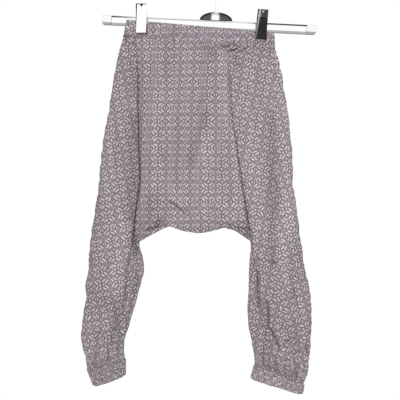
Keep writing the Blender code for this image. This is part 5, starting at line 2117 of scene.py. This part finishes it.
def make_hanger(textures: Textures, nodes: dict[str, Piece]) -> None:
    """The bar and jaws on their own solids, and finer pieces for the rest."""
    bright = Metal("bright_steel", "bright_steel", colour=(252.0, 252.0, 253.0), roughness=0.02, marks=0.02,
                   line_depth=0.0000002)
    # The hook's wire glows though it is no lamp: painted light
    satin = Metal("satin_wire", "bright_steel", colour=(254.0, 254.0, 254.0), roughness=0.5, marks=0.04,
                  glow=0.42)
    # The dome's dark colour, bright toward its middle, is a painted reflection
    dark = SeatMetal("seat_painted_reflection", "bright_steel", colour=(96.0, 99.0, 102.0), roughness=0.22, marks=0.25,
                     middle=-0.0014)
    # The strap's white glows a little though it is no lamp: painted light
    white = Metal("bright_strap", "bright_steel", colour=(254.0, 254.0, 254.0), roughness=0.4, marks=0.04,
                  glow=0.1)
    # The bar's grey lower lip is a painted reflection, its dark upper line a painted shadow and its faint
    # glow painted light; the caps get the same grey lip
    channel = ChannelMetal("brushed_bar", "brushed_bar", colour=(251.0, 251.0, 252.0), roughness=0.3,
                           marks=0.04, glow=0.05)
    moulded = ChannelMetal("cap_plastic", "brushed_bar", colour=(248.0, 248.0, 249.0), roughness=0.35,
                           marks=0.03, line=-0.01)
    steel = bright.make(textures)
    hanger = Hanger(nodes)
    dress(hanger.pressed("bar", 0.2), channel.make(textures), channel.slot, "bar")
    plastic = moulded.make(textures)
    for label, outward in (("right", -1), ("left", 1)):
        dress(hanger.cap(label, outward), plastic, moulded.slot, f"cap_{label}")
    dress(hanger.hook(), satin.make(textures), satin.slot, "hook")
    painted_reflection_and_shade = dark.make(textures)
    width = hanger.seat_size[0]
    dress(hanger.dome("hook_seat", 0.0, (-width, width)), painted_reflection_and_shade, dark.slot, "hub")
    strap = white.make(textures)
    dress(hanger.dome("hook_strap", 0.35, hanger.strap), strap, white.slot)
    springs = spring_tree()
    # One clip's mark is the dark lip in painted reflection and shade, the other's the bright nick in the
    # glowing strap metal, a painted highlight
    for label, lean, outline, finish in (("right", 0.0, PAINTED_DARK_LIP, painted_reflection_and_shade),
                                         ("left", math.radians(4.5), PAINTED_BRIGHT_NICK, strap)):
        across = CUT.clip_across[0 if label == "right" else 1]
        spot = hanger.spot(across)
        turn = hanger.tilt + lean
        middle = spot.x * MM * math.cos(turn) - spot.z * MM * math.sin(turn)
        # The jaws' dark rims are a painted reflection
        jaws = JawMetal(f"clip_{label}_steel", "bright_steel", bright.colour, bright.roughness, bright.marks,
                        line_depth=bright.line_depth, turn=turn, middle=middle).make(textures)
        for node in (f"clip_{label}_front", f"clip_{label}_back"):
            dress(hanger.pressed(node, 0.4, mirror=True), jaws, bright.slot, node)
        dress(hanger.spring(label, lean, springs, steel), steel, bright.slot, f"clip_{label}_pin")
        dress(hanger.mark(f"clip_{label}_mark", across, lean, outline), finish, bright.slot)


def main() -> None:
    """Load the frame, build the pieces round it and set up the studio."""
    logging.basicConfig(level=logging.INFO, format="%(message)s")
    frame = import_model()
    LOG.info("frame: %d nodes", len(frame["nodes"]))
    textures = Textures()
    make_garment(textures)
    make_hanger(textures, frame["nodes"])
    Studio().build()
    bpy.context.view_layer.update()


if __name__ == "__main__":
    main()
